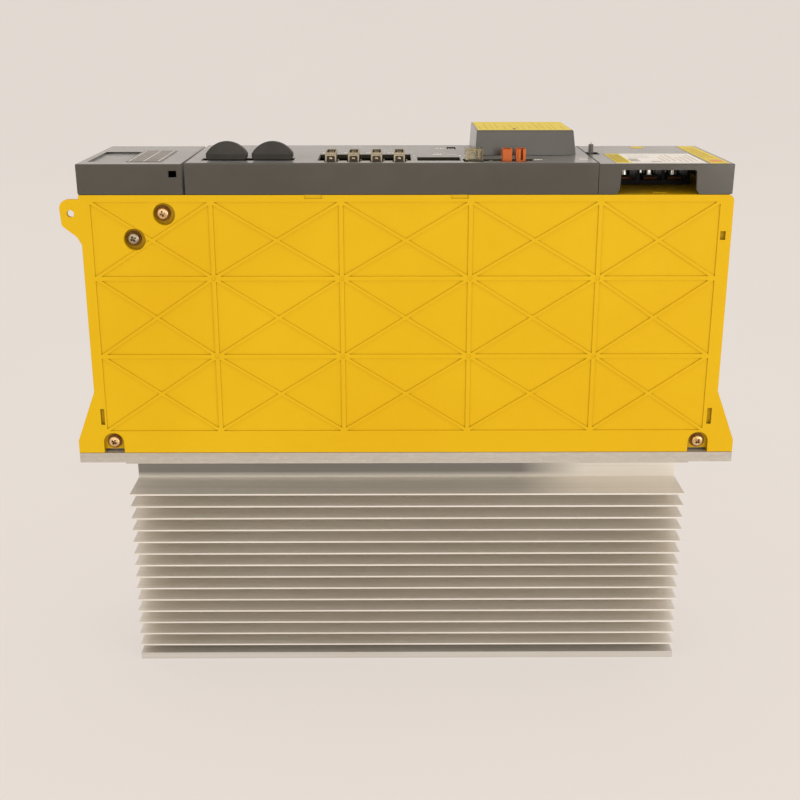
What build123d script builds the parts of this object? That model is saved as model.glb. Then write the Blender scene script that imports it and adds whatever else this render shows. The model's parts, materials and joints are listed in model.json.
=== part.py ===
from build123d import *
import math
import os

# A servo drive of the kind that is bolted through the back panel of a control cabinet, drawn as it
# lies on its heat sink. +X runs to the drive's top end, +Z out of its front face and +Y to its left.
# All heights below are measured from the mounting plane, the rear face of the flange ears. The
# pieces are lifted by SINK_DEPTH when they are saved, so that the origin is at the bottom centre.

# ---------------------------------------------------------------- driving dimensions, in mm
HALF_WIDTH = 45.0          # the drive is 90 wide
FLANGE_HALF = 190.0        # the flange is 380 long
FLANGE_TOP = 5.8
FLANGE_BACK = -0.8         # rear face between the ears
SINK_DEPTH = 131.0         # how far the heat sink reaches behind the mounting plane
FIN_SPAN = (-163.5, 165.0)  # along the drive
FIN_HALF_WIDTH = 42.0
WEB_HALF = 14.5
THIN_FINS = 14
FIN_PITCH = 7.66
FIN_THICK = 1.0
FIRST_FIN_TOP = -21.3
LAST_FIN_THICK = 4.1
EAR_HOLE = (184.0, 30.0)   # where the four M5 bolts go
EAR_HOLE_RADIUS = 2.75

CASE_HALF = 178.8
CASE_CORNER = 3.3          # rounding of the deck's edge at the top end
DECK = 155.3               # top of the yellow case
DECK_THICK = 2.4
WALL = 2.7
RECESS = 0.5               # depth of the panels between the ribs
RIB_WIDTH = 2.4
BRACE_WIDTH = 1.8          # of the ribs that cross each panel
RIB_COLUMNS = [-172.8, -107.2, -36.0, 35.2, 106.3, 171.5]
RIB_ROWS = [19.4, 64.0, 109.0, 151.5]
FLARE_TOP = 43.0
FLARE_STEP = 13.3

FACE = 172.0               # top of the hinged covers
FRONT_FACE = 172.6         # top of the fixed cover between them
COVER_WALL = 2.2
FACE_THICK = 2.3
FRONT_COVER = (-120.5, 104.0)
TOP_COVER = (104.4, 177.7)
BOTTOM_COVER = (-179.1, -122.0)
COVER_GAP = 0.3            # between the covers and the deck

SCREW_WELLS = [(-132.8, 144.8), (-149.7, 130.9)]   # x and height
SCREW_OFFSET = -1.1        # a screw sits this far along X from its well's centre
WELL_DEPTH = 5.0
WELL_RADIUS = 6.1
WELL_RING = 1.5
COLUMN_RADIUS = 4.5
FOOT_WELLS = [-169.6, 169.5]
FOOT_WELL_HEIGHT = 12.4
FOOT_WELL_RADIUS = 5.85
FOOT_WELL_FLOOR = 7.7
FOOT_WELL_DEPTH = 3.0
FOOT_SLOT_DEPTH = 5.5      # the well is deeper where it meets the flange
M4 = 2.0
M4_HOLE = 2.1
M3 = 1.5
M3_HOLE = 1.6

END_DRAFT = 0.2            # how far a hinged cover's end leans in, from top to bottom
HINGE_INSET = 1.5          # from the foot of the cover's end to the pin
HINGE_HEIGHT = 158.7
HINGE_PIN_RADIUS = 0.8
HINGE_HOLE_RADIUS = 0.85
HINGE_EAR = (36.0, 40.0)   # distance of each ear's faces from the middle
HINGE_EAR_RADIUS = 1.45
HINGE_PLAY = 0.35
LOWER_CORNER = 0.8         # rounding that clears the deck as a cover swings

POWER_BOARD = 27.0
BOARD_THICK = 1.6
CONTROL_BOARD = 158.5
BOARD_TOP = CONTROL_BOARD + BOARD_THICK

DC_TERMINALS = [126.0, 141.0, 155.0]
DC_SCREW_Y = 3.0
MOTOR_TERMINALS = [-27.0, -9.0, 9.0, 27.0]
MOTOR_BAR_X = -141.0
TERMINAL_FLOOR = 158.0
BARRIER_TOP = 164.5

FAN_SIZE = 60.0
FAN_DEPTH = 25.0
FAN_HEIGHT = 54.0          # its axis above the mounting plane
FAN_BORE = 28.5
FAN_BLADES = 7
FAN_SCREW = 25.0           # screws this far from its axis, both ways

BOARD_HALF = 40.4
SIGNAL_CONNECTORS = [-44.4, -32.0, -19.5, -7.1]   # left edge of each
SIGNAL_WIDTH = 6.2
SIGNAL_SPAN = (-40.2, -22.0)
SIGNAL_TOP = 177.5
DUST_CAPS = [-98.5, -73.5]
DUST_CAP_Y = -29.0
ORANGE_HEADERS = [(52.1, 57.3), (59.4, 64.8)]
HEADER_SPAN = (-40.3, -32.3)
HEADER_TOP = 179.3
CLEAR_HEADER = ((31.9, 41.4), (-40.3, -30.3))
CLEAR_TOP = 179.3
OPTION_CONNECTOR = ((8.0, 28.2), (-33.0, -21.5))
OPTION_TOP = 169.0
STATUS_LIGHT = (46.4, -33.5)
LATCH_SPAN = (-0.8, 10.6)
BATTERY_X = (39.1, 96.1)
BATTERY_Y = (-11.5, 43.5)
BATTERY_TOP = 186.5
LUG_HOLE = (-183.8, 145.2)
LUG_HOLE_RADIUS = 2.0

pieces = {}


# ---------------------------------------------------------------- small builders
def block(x, y, z):
    """A box given by its low and high value along each axis."""
    size = [high - low for low, high in (x, y, z)]
    middle = [(low + high) / 2 for low, high in (x, y, z)]
    return Pos(*middle) * Box(*size)


def panel(across, up):
    """A flat rectangle given by its low and high values."""
    middle = Pos((across[0] + across[1]) / 2, (up[0] + up[1]) / 2)
    return middle * Rectangle(across[1] - across[0], up[1] - up[0])


def bar(start, end, width):
    """A flat strip of a given width between two points."""
    length = math.dist(start, end)
    turn = math.degrees(math.atan2(end[1] - start[1], end[0] - start[0]))
    middle = Pos((start[0] + end[0]) / 2, (start[1] + end[1]) / 2)
    return middle * Rot(0, 0, turn) * Rectangle(length, width)


def along_x(sketch, low, high):
    """Extrudes a (y, z) sketch from low to high along X."""
    return extrude(Plane.YZ.offset(low) * sketch, high - low, dir=(1, 0, 0))


def along_y(sketch, low, high):
    """Extrudes an (x, z) sketch from low to high along Y."""
    return extrude(Plane.XZ.offset(-high) * sketch, high - low, dir=(0, -1, 0))


def along_z(sketch, low, high):
    """Extrudes an (x, y) sketch from low to high along Z."""
    return extrude(Plane.XY.offset(low) * sketch, high - low, dir=(0, 0, 1))


def disc(centre, radius):
    """A flat circle at a place on its plane."""
    return Pos(*centre) * Circle(radius)


def both_sides(shape):
    """A shape and its mirror image on the drive's other side."""
    return [shape, mirror(shape, about=Plane.XZ)]


def cross_screw(radius, length, head_radius, head_height, slot_width=1.0):
    """A pan-head screw with a cross recess, head up, its head's underside at the origin."""
    head = along_z(Circle(head_radius), 0, head_height)
    rounding = min(head_height * 0.45, head_radius * 0.6)
    head = fillet(head.edges().group_by(Axis.Z)[-1], rounding)
    shank = along_z(Circle(radius), -length, 0)
    recess = Rectangle(head_radius, slot_width) + Rectangle(slot_width, head_radius)
    return head + shank - along_z(recess, head_height * 0.45, head_height + 1)


def screw_at(x, y, z, direction, **sizes):
    """A screw whose head points along +Z, -Y, +Y or +X."""
    turn = {"+Z": Rot(0, 0, 0), "-Y": Rot(90, 0, 0), "+Y": Rot(-90, 0, 0), "+X": Rot(0, 90, 0)}
    return Pos(x, y, z) * turn[direction] * cross_screw(**sizes)


def group(shapes):
    """Separate solids that are saved as one node."""
    return Compound(children=list(shapes))


# ---------------------------------------------------------------- heat sink
MODULE_CENTRES = [-62.0, 54.0]
MODULE_SIZE = (108.0, 62.0)
MODULE_BOLT = (48.0, 25.0)
BRACKET_BOLT = (168.0, 20.0)
BLIND_HOLE = 4.6


def module_bolts():
    return [(centre + sx * MODULE_BOLT[0], sy * MODULE_BOLT[1])
            for centre in MODULE_CENTRES for sx in (-1, 1) for sy in (-1, 1)]


def bracket_bolts():
    return [(sx * BRACKET_BOLT[0], sy * BRACKET_BOLT[1]) for sx in (-1, 1) for sy in (-1, 1)]


def heat_sink():
    """One extrusion: flange, web and fins. The flange's ears reach past the fins at both ends."""
    body = block((-FLANGE_HALF, FLANGE_HALF), (-HALF_WIDTH, HALF_WIDTH), (0, FLANGE_TOP))
    ribs = panel((-HALF_WIDTH, HALF_WIDTH), (FLANGE_BACK, 0))
    ribs += panel((-WEB_HALF, WEB_HALF), (-SINK_DEPTH, 0))
    for fin in range(THIN_FINS):
        top = FIRST_FIN_TOP - FIN_PITCH * fin
        ribs += panel((-FIN_HALF_WIDTH, FIN_HALF_WIDTH), (top - FIN_THICK, top))
    ribs += panel((-FIN_HALF_WIDTH, FIN_HALF_WIDTH), (-SINK_DEPTH, -SINK_DEPTH + LAST_FIN_THICK))
    body += along_x(ribs, *FIN_SPAN)
    for sx in (-1, 1):
        for sy in (-1, 1):
            hole = disc((sx * EAR_HOLE[0], sy * EAR_HOLE[1]), EAR_HOLE_RADIUS)
            body -= along_z(hole, -1, FLANGE_TOP + 1)
    for x, y in module_bolts() + bracket_bolts():
        body -= along_z(disc((x, y), M4_HOLE), FLANGE_TOP - BLIND_HOLE, FLANGE_TOP + 1)
    return body


pieces["heat_sink"] = heat_sink()


# ---------------------------------------------------------------- yellow case
CASE_INNER = CASE_HALF - 2.5
DECK_UNDER = DECK - DECK_THICK
SNAP_CENTRES = [-51.0, 29.0]
SNAP_WIDTH = 9.5
SNAP_HOLE_Y = (-42.3, -39.9)
BOARD_OPENING = ((-108.0, 92.0), (-34.0, 1.0))
DC_OPENING_Y = (7.5, 26.0)
BLIND_SLOTS = [((-176.1, -173.8), (23.2, 32.8)), ((173.6, 176.2), (23.2, 32.8)),
               ((172.7, 175.6), (130.5, 135.3))]   # x and height
BOARD_POSTS = [(x, y) for x in (-112.0, 97.5) for y in (-38.0, 38.0)]
WELL_BACK = 2.4            # thickness behind a screw well
FOOT_BOSS_DEPTH = FOOT_WELL_DEPTH + WELL_BACK
FOOT_BOSS_HALF = 6.7
FOOT_BOSS_TOP = FOOT_WELL_HEIGHT + 8.0
SLOT_DEPTH = 1.8           # of the blind slots near the side's corners
SNAP_NOTCH = (2.0, 0.6)    # height below the deck, and depth, of the notches over the snaps
SHADOW_GAP = (0.3, 0.6)    # height and depth of the fine step where two mouldings meet
DIMPLE = (1.25, 0.3)       # radius and depth of the round marks where the ribs cross


def rib_lattice():
    """The strips that stand between the recessed panels: an upright grid and a cross in each cell."""
    low, high = RIB_ROWS[0], RIB_ROWS[-1]
    lattice = [bar((x, low), (x, high), RIB_WIDTH) for x in RIB_COLUMNS[1:-1]]
    lattice += [bar((RIB_COLUMNS[0], z), (RIB_COLUMNS[-1], z), RIB_WIDTH) for z in RIB_ROWS[1:-1]]
    for left, right in zip(RIB_COLUMNS, RIB_COLUMNS[1:]):
        for bottom, top in zip(RIB_ROWS, RIB_ROWS[1:]):
            lattice.append(bar((left, bottom), (right, top), BRACE_WIDTH))
            lattice.append(bar((left, top), (right, bottom), BRACE_WIDTH))
    return lattice


def foot_well_outline(x):
    arch = disc((x, FOOT_WELL_HEIGHT), FOOT_WELL_RADIUS)
    return arch + panel((x - FOOT_WELL_RADIUS, x + FOOT_WELL_RADIUS), (FOOT_WELL_FLOOR, FOOT_WELL_HEIGHT))


def end_vents():
    """Cutters for the air slots of one half: round group over the fan, plain slots at the far end."""
    cutters = []
    for y in (4.0, 11.5, 19.0):
        reach = math.sqrt(26.0**2 - y**2)
        slot = (FAN_HEIGHT - reach, FAN_HEIGHT + reach)
        cutters.append(block((CASE_INNER - 1, CASE_HALF + 1), (-y - 2.2, -y + 2.2), slot))
    for rise in (-FAN_SCREW, FAN_SCREW):
        hole = disc((-FAN_SCREW, FAN_HEIGHT + rise), M3_HOLE)
        cutters.append(along_x(hole, CASE_INNER - 1, CASE_HALF + 1))
    for y in (5.0, 13.0, 21.0, 29.0, 37.0):
        for low, high in ((32.0, 66.0), (74.0, 108.0)):
            cutters.append(block((-CASE_HALF - 1, -CASE_INNER + 1), (-y - 2, -y + 2), (low, high)))
    return cutters


def case_outline():
    """The case seen from the side, without its feet's flares."""
    outline = panel((-CASE_HALF, CASE_HALF), (FLANGE_TOP, DECK))
    top_corner = outline.vertices().group_by(Axis.Y)[-1].sort_by(Axis.X)[-1]
    return fillet(top_corner, CASE_CORNER)


def case_shell(has_wells):
    """The walls of one half, with the bosses behind its screws, drawn on the -Y side."""
    inside = -HALF_WIDTH + WALL
    shell = along_y(case_outline(), -HALF_WIDTH, 0)
    shell -= block((-CASE_INNER, CASE_INNER), (inside, 1), (FLANGE_TOP - 1, DECK_UNDER))
    for side in (-1, 1):
        flare = Polygon((side * FLANGE_HALF, FLANGE_TOP), (side * FLANGE_HALF, FLARE_STEP),
                        (side * CASE_HALF, FLARE_TOP), (side * CASE_INNER, FLARE_TOP),
                        (side * CASE_INNER, FLANGE_TOP), align=None)
        shell += along_y(flare, -HALF_WIDTH, inside)
    for x in FOOT_WELLS:
        boss = panel((x - FOOT_BOSS_HALF, min(x + FOOT_BOSS_HALF, CASE_INNER)), (FLANGE_TOP, FOOT_BOSS_TOP))
        shell += along_y(boss, inside, -HALF_WIDTH + FOOT_BOSS_DEPTH)
    for x, z in SCREW_WELLS:
        shell += along_y(disc((x + SCREW_OFFSET, z), COLUMN_RADIUS), inside, 0)
        if has_wells:
            ring = disc((x, z), WELL_RADIUS + WELL_RING)
            shell += along_y(ring, -HALF_WIDTH + RECESS, -HALF_WIDTH + WELL_DEPTH + WELL_BACK)
    return shell


def side_cutters(has_wells):
    """The recessed panels, screw wells, arched foot wells and blind slots of one side."""
    outside = -HALF_WIDTH - 1
    recesses = panel((RIB_COLUMNS[0], RIB_COLUMNS[-1]), (RIB_ROWS[0], RIB_ROWS[-1])) - rib_lattice()
    cutters = [along_y(recesses, outside, -HALF_WIDTH + RECESS)]
    for x, z in SCREW_WELLS:
        if has_wells:
            cutters.append(along_y(disc((x, z), WELL_RADIUS), outside, -HALF_WIDTH + WELL_DEPTH))
        cutters.append(along_y(disc((x + SCREW_OFFSET, z), M4_HOLE), -HALF_WIDTH + WELL_DEPTH - 1, 1))
    for x in FOOT_WELLS:
        cutters.append(along_y(foot_well_outline(x), outside, -HALF_WIDTH + FOOT_WELL_DEPTH))
        slot = (x - FOOT_WELL_RADIUS, x + FOOT_WELL_RADIUS)
        across = (outside, -HALF_WIDTH + FOOT_SLOT_DEPTH)
        cutters.append(block(slot, across, (FLANGE_TOP - 1, FOOT_WELL_FLOOR)))
        hole = disc((x, FOOT_WELL_HEIGHT), M4_HOLE)
        cutters.append(along_y(hole, -HALF_WIDTH, -HALF_WIDTH + FOOT_BOSS_DEPTH + 1))
    for x, z in BLIND_SLOTS:
        cutters.append(block(x, (outside, -HALF_WIDTH + SLOT_DEPTH), z))
    for x in SNAP_CENTRES:
        edge = (x - SNAP_WIDTH / 2, x + SNAP_WIDTH / 2)
        depth = (outside, -HALF_WIDTH + SNAP_NOTCH[1])
        cutters.append(block(edge, depth, (DECK - SNAP_NOTCH[0], DECK + 1)))
    foot = (FLANGE_TOP - 1, FLANGE_TOP + SHADOW_GAP[0])
    cutters.append(block((-FLANGE_HALF - 1, FLANGE_HALF + 1), (outside, -HALF_WIDTH + SHADOW_GAP[1]), foot))
    for x in RIB_COLUMNS[1:-1]:
        for z in RIB_ROWS[1:-1]:
            cutters.append(along_y(disc((x, z), DIMPLE[0]), outside, -HALF_WIDTH + DIMPLE[1]))
    return cutters


def deck_cutters():
    """The openings of one half of the deck: for the boards, snaps, posts and the motor's bars."""
    across_deck = (DECK_UNDER - 1, DECK + 1)
    cutters = [block(*BOARD_OPENING, across_deck)]
    for x in SNAP_CENTRES:
        cutters.append(block((x - SNAP_WIDTH / 2, x + SNAP_WIDTH / 2), SNAP_HOLE_Y, across_deck))
    for x, y in BOARD_POSTS:
        cutters.append(along_z(disc((x, -abs(y)), M3_HOLE), *across_deck))
    cutters.append(block((MOTOR_BAR_X - 3, MOTOR_BAR_X + 3), (-33, 1), across_deck))
    return cutters


def case_half(has_wells):
    """One half of the case, drawn on the -Y side and split on the middle plane."""
    shell = case_shell(has_wells)
    for cutter in side_cutters(has_wells) + deck_cutters() + end_vents():
        shell -= cutter
    return shell


def case_right():
    """The half on the drive's right, with both screw wells, a wire hole and the cable-tie lug."""
    lug = Polygon((-176.5, 152.9), (-FLANGE_HALF, 152.9), (1 - FLANGE_HALF, 138.6), (-181.2, 132.4),
                  (-178.6, 127.6), (-176.5, 127.6), align=None)
    lug = fillet(lug.vertices().sort_by(Axis.X)[0], 5.0)
    lug = fillet(lug.vertices().filter_by_position(Axis.Y, 138.5, 138.7), 2.5)
    lug -= disc(LUG_HOLE, LUG_HOLE_RADIUS)
    shell = case_half(has_wells=True) + along_y(lug, -HALF_WIDTH, -HALF_WIDTH + WALL)
    wire_hole = Pos(139.6, -37.2) * SlotOverall(9.2, 4.2)
    return shell - along_z(wire_hole, DECK_UNDER - 1, DECK + 1)


def case_left():
    """The half on the drive's left, with the opening that the direct-current bars come up through."""
    shell = mirror(case_half(has_wells=False), about=Plane.XZ)
    opening = (DC_TERMINALS[0] - 5, DC_TERMINALS[-1] + 5)
    return shell - block(opening, DC_OPENING_Y, (DECK_UNDER - 1, DECK + 1))


pieces["case_right"] = case_right()
pieces["case_left"] = case_left()

CASE_SCREW = 55.0
M4_HEAD = {"radius": M4, "head_radius": 3.6, "head_height": 2.6}
pieces["case_screws"] = group(
    screw_at(x + SCREW_OFFSET, -HALF_WIDTH + WELL_DEPTH, z, "-Y", length=CASE_SCREW, **M4_HEAD)
    for x, z in SCREW_WELLS)

pieces["foot_screws"] = group(
    screw_at(x, side * (HALF_WIDTH - FOOT_WELL_DEPTH), FOOT_WELL_HEIGHT, "-Y" if side < 0 else "+Y",
             length=9.0, **M4_HEAD)
    for x in FOOT_WELLS for side in (-1, 1))


# ---------------------------------------------------------------- ears that the hinged covers swing on
def cover_foot(side):
    """X of the foot of a hinged cover's end."""
    outer = TOP_COVER[1] if side > 0 else BOTTOM_COVER[0]
    return outer - side * END_DRAFT


def hinge_x(side):
    return cover_foot(side) - side * HINGE_INSET


def hinge_ear(side):
    """An upright ear that stands on the deck, with a pin hole, at the end given by side."""
    x = hinge_x(side)
    outline = disc((x, HINGE_HEIGHT), HINGE_EAR_RADIUS)
    outline += panel((x - HINGE_EAR_RADIUS, x + HINGE_EAR_RADIUS), (DECK - WALL, HINGE_HEIGHT))
    outline -= case_outline()
    outline -= disc((x, HINGE_HEIGHT), HINGE_HOLE_RADIUS)
    return along_y(outline, *HINGE_EAR)


ears = [hinge_ear(side) for side in (-1, 1)]
pieces["hinge_ears"] = group(ears + [mirror(ear, about=Plane.XZ) for ear in ears])


# ---------------------------------------------------------------- steel brackets that hold the case's feet
BRACKET_X = (162.5, 176.0)
BRACKET_HALF = HALF_WIDTH - FOOT_BOSS_DEPTH


def end_bracket(side):
    """A U of steel: its base is screwed to the flange, and the case's feet are screwed to its sides."""
    outline = panel((-BRACKET_HALF, BRACKET_HALF), (FLANGE_TOP, FOOT_WELL_HEIGHT + 7))
    outline -= panel((-BRACKET_HALF + 2, BRACKET_HALF - 2), (FLANGE_TOP + 2, FOOT_WELL_HEIGHT + 8))
    low, high = sorted((side * BRACKET_X[0], side * BRACKET_X[1]))
    bracket = along_x(outline, low, high)
    foot = FOOT_WELLS[0] if side < 0 else FOOT_WELLS[1]
    bracket -= along_y(disc((foot, FOOT_WELL_HEIGHT), M4_HOLE), -HALF_WIDTH, HALF_WIDTH)
    for sy in (-1, 1):
        hole = disc((side * BRACKET_BOLT[0], sy * BRACKET_BOLT[1]), M4_HOLE)
        bracket -= along_z(hole, FLANGE_TOP - 1, FLANGE_TOP + 3)
    return bracket


pieces["end_brackets"] = group(end_bracket(side) for side in (-1, 1))
pieces["bracket_screws"] = group(
    screw_at(x, y, FLANGE_TOP + 2, "+Z", length=6.0, **M4_HEAD)
    for x, y in bracket_bolts())


# ---------------------------------------------------------------- power electronics
MODULE_HEIGHT = 17.0
MODULE_EAR = 8.0


def power_module(centre):
    """A flat moulded transistor module on its base, with pillars up to the power board."""
    half_x, half_y = MODULE_SIZE[0] / 2, MODULE_SIZE[1] / 2
    base = block((centre - half_x, centre + half_x), (-half_y, half_y), (FLANGE_TOP, FLANGE_TOP + 4))
    body = block((centre - half_x + 12, centre + half_x - 12), (-half_y, half_y),
                 (FLANGE_TOP + 4, FLANGE_TOP + MODULE_HEIGHT))
    body = fillet(body.edges().group_by(Axis.Z)[-1], 1.5)
    module = base + body
    for sx in (-1, 0, 1):
        for sy in (-1, 1):
            pillar = disc((centre + sx * 30, sy * 24), 3.5)
            module += along_z(pillar, FLANGE_TOP + MODULE_HEIGHT - 1, POWER_BOARD)
    for x, y in module_bolts():
        module -= along_z(disc((x, y), M4_HOLE), FLANGE_TOP - 1, FLANGE_TOP + 5)
    return module


for number, centre in enumerate(MODULE_CENTRES, start=1):
    pieces[f"power_module_{number}"] = power_module(centre)

pieces["module_screws"] = group(
    screw_at(x, y, FLANGE_TOP + 4, "+Z", length=8.0, **M4_HEAD)
    for x, y in module_bolts())

BOARD_Y = (-38.0, 38.0)
POWER_BOARD_TOP = POWER_BOARD + BOARD_THICK
pieces["power_board"] = block((-130.0, 134.0), BOARD_Y, (POWER_BOARD, POWER_BOARD_TOP))

CAPACITOR_RADIUS = 17.5
CAPACITOR_HEIGHT = 62.0


def capacitor(x, y):
    """A can with the rolled groove near its foot and a rounded top edge."""
    top = POWER_BOARD_TOP + CAPACITOR_HEIGHT
    can = along_z(disc((x, y), CAPACITOR_RADIUS), POWER_BOARD_TOP, top)
    can = fillet(can.edges().group_by(Axis.Z)[-1], 1.2)
    groove = Pos(x, y, POWER_BOARD_TOP + 5) * Torus(CAPACITOR_RADIUS, 0.9)
    return can - groove


pieces["link_capacitors"] = group(
    capacitor(x, y) for x in (-96.0, -56.0, -16.0) for y in (-18.5, 18.5))


def relay(y):
    case = block((20, 49), (y - 6.5, y + 6.5), (POWER_BOARD_TOP, POWER_BOARD_TOP + 25))
    return fillet(case.edges().group_by(Axis.Z)[-1], 1)


pieces["relays"] = group(relay(y) for y in (-22.0, 0.0))


def current_sensor(y):
    """A square sensor body round the hole that the motor lead passes through."""
    body = block((60, 76), (y - 11, y + 11), (POWER_BOARD_TOP, POWER_BOARD_TOP + 24))
    return body - along_x(disc((y, POWER_BOARD_TOP + 14), 5), 59, 77)


pieces["current_sensors"] = group(current_sensor(y) for y in (-22.0, 4.0))


def transformer():
    """A ferrite frame with a wound bobbin between its outer legs."""
    low = POWER_BOARD_TOP
    frame = block((84, 116), (-34, -8), (low, low + 30)) - block((88, 112), (-35, -7), (low + 4, low + 26))
    core = along_x(disc((-21, low + 15), 6), 88, 112)
    winding = along_x(disc((-21, low + 15), 10.5), 89, 111)
    return frame + core + winding


pieces["transformer"] = transformer()
pieces["riser_board"] = block((2.0, 78.0), (32.0, 32.0 + BOARD_THICK), (POWER_BOARD_TOP, CONTROL_BOARD))


# ---------------------------------------------------------------- bus bars and terminals
BAR_WIDTH = 8.0
BAR_THICK = 1.5
BAR_START = 124.0
DC_BAR_ROWS = [9.0, 15.5, 22.0]
DC_BAR_RUN = 110.0
MOTOR_BAR_RUN = 40.0
TAB = (TERMINAL_FLOOR, TERMINAL_FLOOR + BAR_THICK)
DC_HOLE = 3.1
MOTOR_HOLE = 2.6
MOTOR_SCREW_X = -150.0


def dc_bar(x, y):
    """Up from the power board, along under the deck, up through it and forward under the screw."""
    edge = (y, y + BAR_THICK)
    half = BAR_WIDTH / 2
    strip = block((BAR_START - half, BAR_START + half), edge, (POWER_BOARD_TOP, DC_BAR_RUN + BAR_WIDTH))
    strip += block((BAR_START - half, x + half), edge, (DC_BAR_RUN, DC_BAR_RUN + BAR_WIDTH))
    strip += block((x - half, x + half), edge, (DC_BAR_RUN, TERMINAL_FLOOR + BAR_THICK))
    tab = block((x - half, x + half), (DC_SCREW_Y - 6, edge[1]), TAB)
    return strip + tab - along_z(disc((x, DC_SCREW_Y), DC_HOLE), TERMINAL_FLOOR - 1, TERMINAL_FLOOR + 3)


def motor_bar(y):
    """Up from the power board's end, out past the capacitors and up to its terminal."""
    side = (y - BAR_WIDTH / 2, y + BAR_WIDTH / 2)
    face = (MOTOR_BAR_X - BAR_THICK / 2, MOTOR_BAR_X + BAR_THICK / 2)
    strip = block((-128.5, -128.5 + BAR_THICK), side, (POWER_BOARD_TOP, MOTOR_BAR_RUN + BAR_THICK))
    strip += block((face[0], -127), side, (MOTOR_BAR_RUN, MOTOR_BAR_RUN + BAR_THICK))
    strip += block(face, side, (MOTOR_BAR_RUN, TERMINAL_FLOOR + BAR_THICK))
    tab = block((-156, face[1]), side, TAB)
    hole = disc((MOTOR_SCREW_X, y), MOTOR_HOLE)
    return strip + tab - along_z(hole, TERMINAL_FLOOR - 1, TERMINAL_FLOOR + 3)


pieces["dc_bus_bars"] = group(dc_bar(x, y) for x, y in zip(DC_TERMINALS, DC_BAR_ROWS))
pieces["motor_bus_bars"] = group(motor_bar(y) for y in MOTOR_TERMINALS)


BARRIER = 1.6


def dc_terminal_block():
    """A moulded block on the deck, with a barrier each side of every terminal."""
    depth = (DC_SCREW_Y - 8, 27.5)
    body = block((117.5, 163.5), depth, (DECK, TERMINAL_FLOOR))
    through = (DECK - 1, TERMINAL_FLOOR + 1)
    for x in (117.5, 132.8, 147.2, 161.9):
        body += block((x, x + BARRIER), depth, (DECK, BARRIER_TOP))
    for x, y in zip(DC_TERMINALS, DC_BAR_ROWS):
        body -= block((x - 4.3, x + 4.3), (y - 0.3, y + BAR_THICK + 0.3), through)
        body -= along_z(disc((x, DC_SCREW_Y), DC_HOLE), *through)
    return body


def motor_terminal_block():
    """The same for the motor's leads, with its terminals in a row across the drive."""
    body = block((-160, -134), (-37, 37), (DECK, TERMINAL_FLOOR))
    through = (DECK - 1, TERMINAL_FLOOR + 1)
    for y in (-37.0, -18.8, -0.8, 17.2, 35.4):
        body += block((-160, -134), (y, y + BARRIER), (DECK, BARRIER_TOP))
    for y in MOTOR_TERMINALS:
        body -= block((MOTOR_BAR_X - 1.1, MOTOR_BAR_X + 1.1), (y - 4.3, y + 4.3), through)
        body -= along_z(disc((MOTOR_SCREW_X, y), MOTOR_HOLE), *through)
    return body


pieces["dc_terminal_block"] = dc_terminal_block()
DC_SCREW = {"radius": 3.0, "length": 4.0, "head_radius": 4.0, "head_height": 9.0, "slot_width": 1.4}
MOTOR_SCREW = {"radius": 2.5, "length": 4.0, "head_radius": 4.0, "head_height": 3.4, "slot_width": 1.2}
pieces["dc_terminal_screws"] = group(
    screw_at(x, DC_SCREW_Y, TERMINAL_FLOOR + BAR_THICK, "+Z", **DC_SCREW)
    for x in DC_TERMINALS)
pieces["motor_terminal_block"] = motor_terminal_block()
pieces["motor_terminal_screws"] = group(
    screw_at(MOTOR_SCREW_X, y, TERMINAL_FLOOR + BAR_THICK, "+Z", **MOTOR_SCREW)
    for y in MOTOR_TERMINALS)


# ---------------------------------------------------------------- cooling fan inside the top end
FAN_X = (CASE_INNER - FAN_DEPTH, CASE_INNER)
FAN_SHAFT = 1.5


def fan_frame():
    """A square frame with a round bore, and a motor base on three struts with its bearing tube."""
    half = FAN_SIZE / 2
    outline = fillet(Rectangle(FAN_SIZE, FAN_SIZE).vertices(), 3) - Circle(FAN_BORE)
    outline -= [disc((sy * FAN_SCREW, sz * FAN_SCREW), M3_HOLE) for sy in (-1, 1) for sz in (-1, 1)]
    frame = along_x(Pos(0, FAN_HEIGHT) * outline, *FAN_X)
    base = Circle(14) + [Rot(0, 0, turn) * bar((10, 0), (half - 1, 0), 4) for turn in (30, 150, 270)]
    frame += along_x(Pos(0, FAN_HEIGHT) * base, FAN_X[0], FAN_X[0] + 3)
    frame += along_x(disc((0, FAN_HEIGHT), 3.5), FAN_X[0], FAN_X[0] + 15)
    return frame - along_x(disc((0, FAN_HEIGHT), FAN_SHAFT + 0.05), FAN_X[0] + 3, FAN_X[1])


def fan_stator():
    """Four wound poles round the bearing tube."""
    poles = Circle(11) - [Rot(0, 0, 45 + 90 * k) * bar((5.5, 0), (12, 0), 1.6) for k in range(4)]
    poles -= Circle(3.6)
    return along_x(Pos(0, FAN_HEIGHT) * poles, FAN_X[0] + 4, FAN_X[0] + 14)


def fan_rotor():
    """The cup that holds the magnet ring, its shaft, and the pitched blades."""
    cup = along_x(Circle(13.7), FAN_X[0] + 4, FAN_X[0] + 20)
    cup -= along_x(Circle(12.3), FAN_X[0] + 3, FAN_X[0] + 18)
    rotor = cup + along_x(Circle(FAN_SHAFT), FAN_X[0] + 5, FAN_X[0] + 19)
    blade = Pos(FAN_X[0] + 12, 0, 20.2) * Rot(0, 0, 38) * Box(17, 1.2, 14.4)
    blade = blade & along_x(Circle(27.6) - Circle(13.0), FAN_X[0] + 4, FAN_X[0] + 20)
    for k in range(FAN_BLADES):
        rotor += Rot(360 / FAN_BLADES * k, 0, 0) * blade
    return Pos(0, 0, FAN_HEIGHT) * rotor


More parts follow.
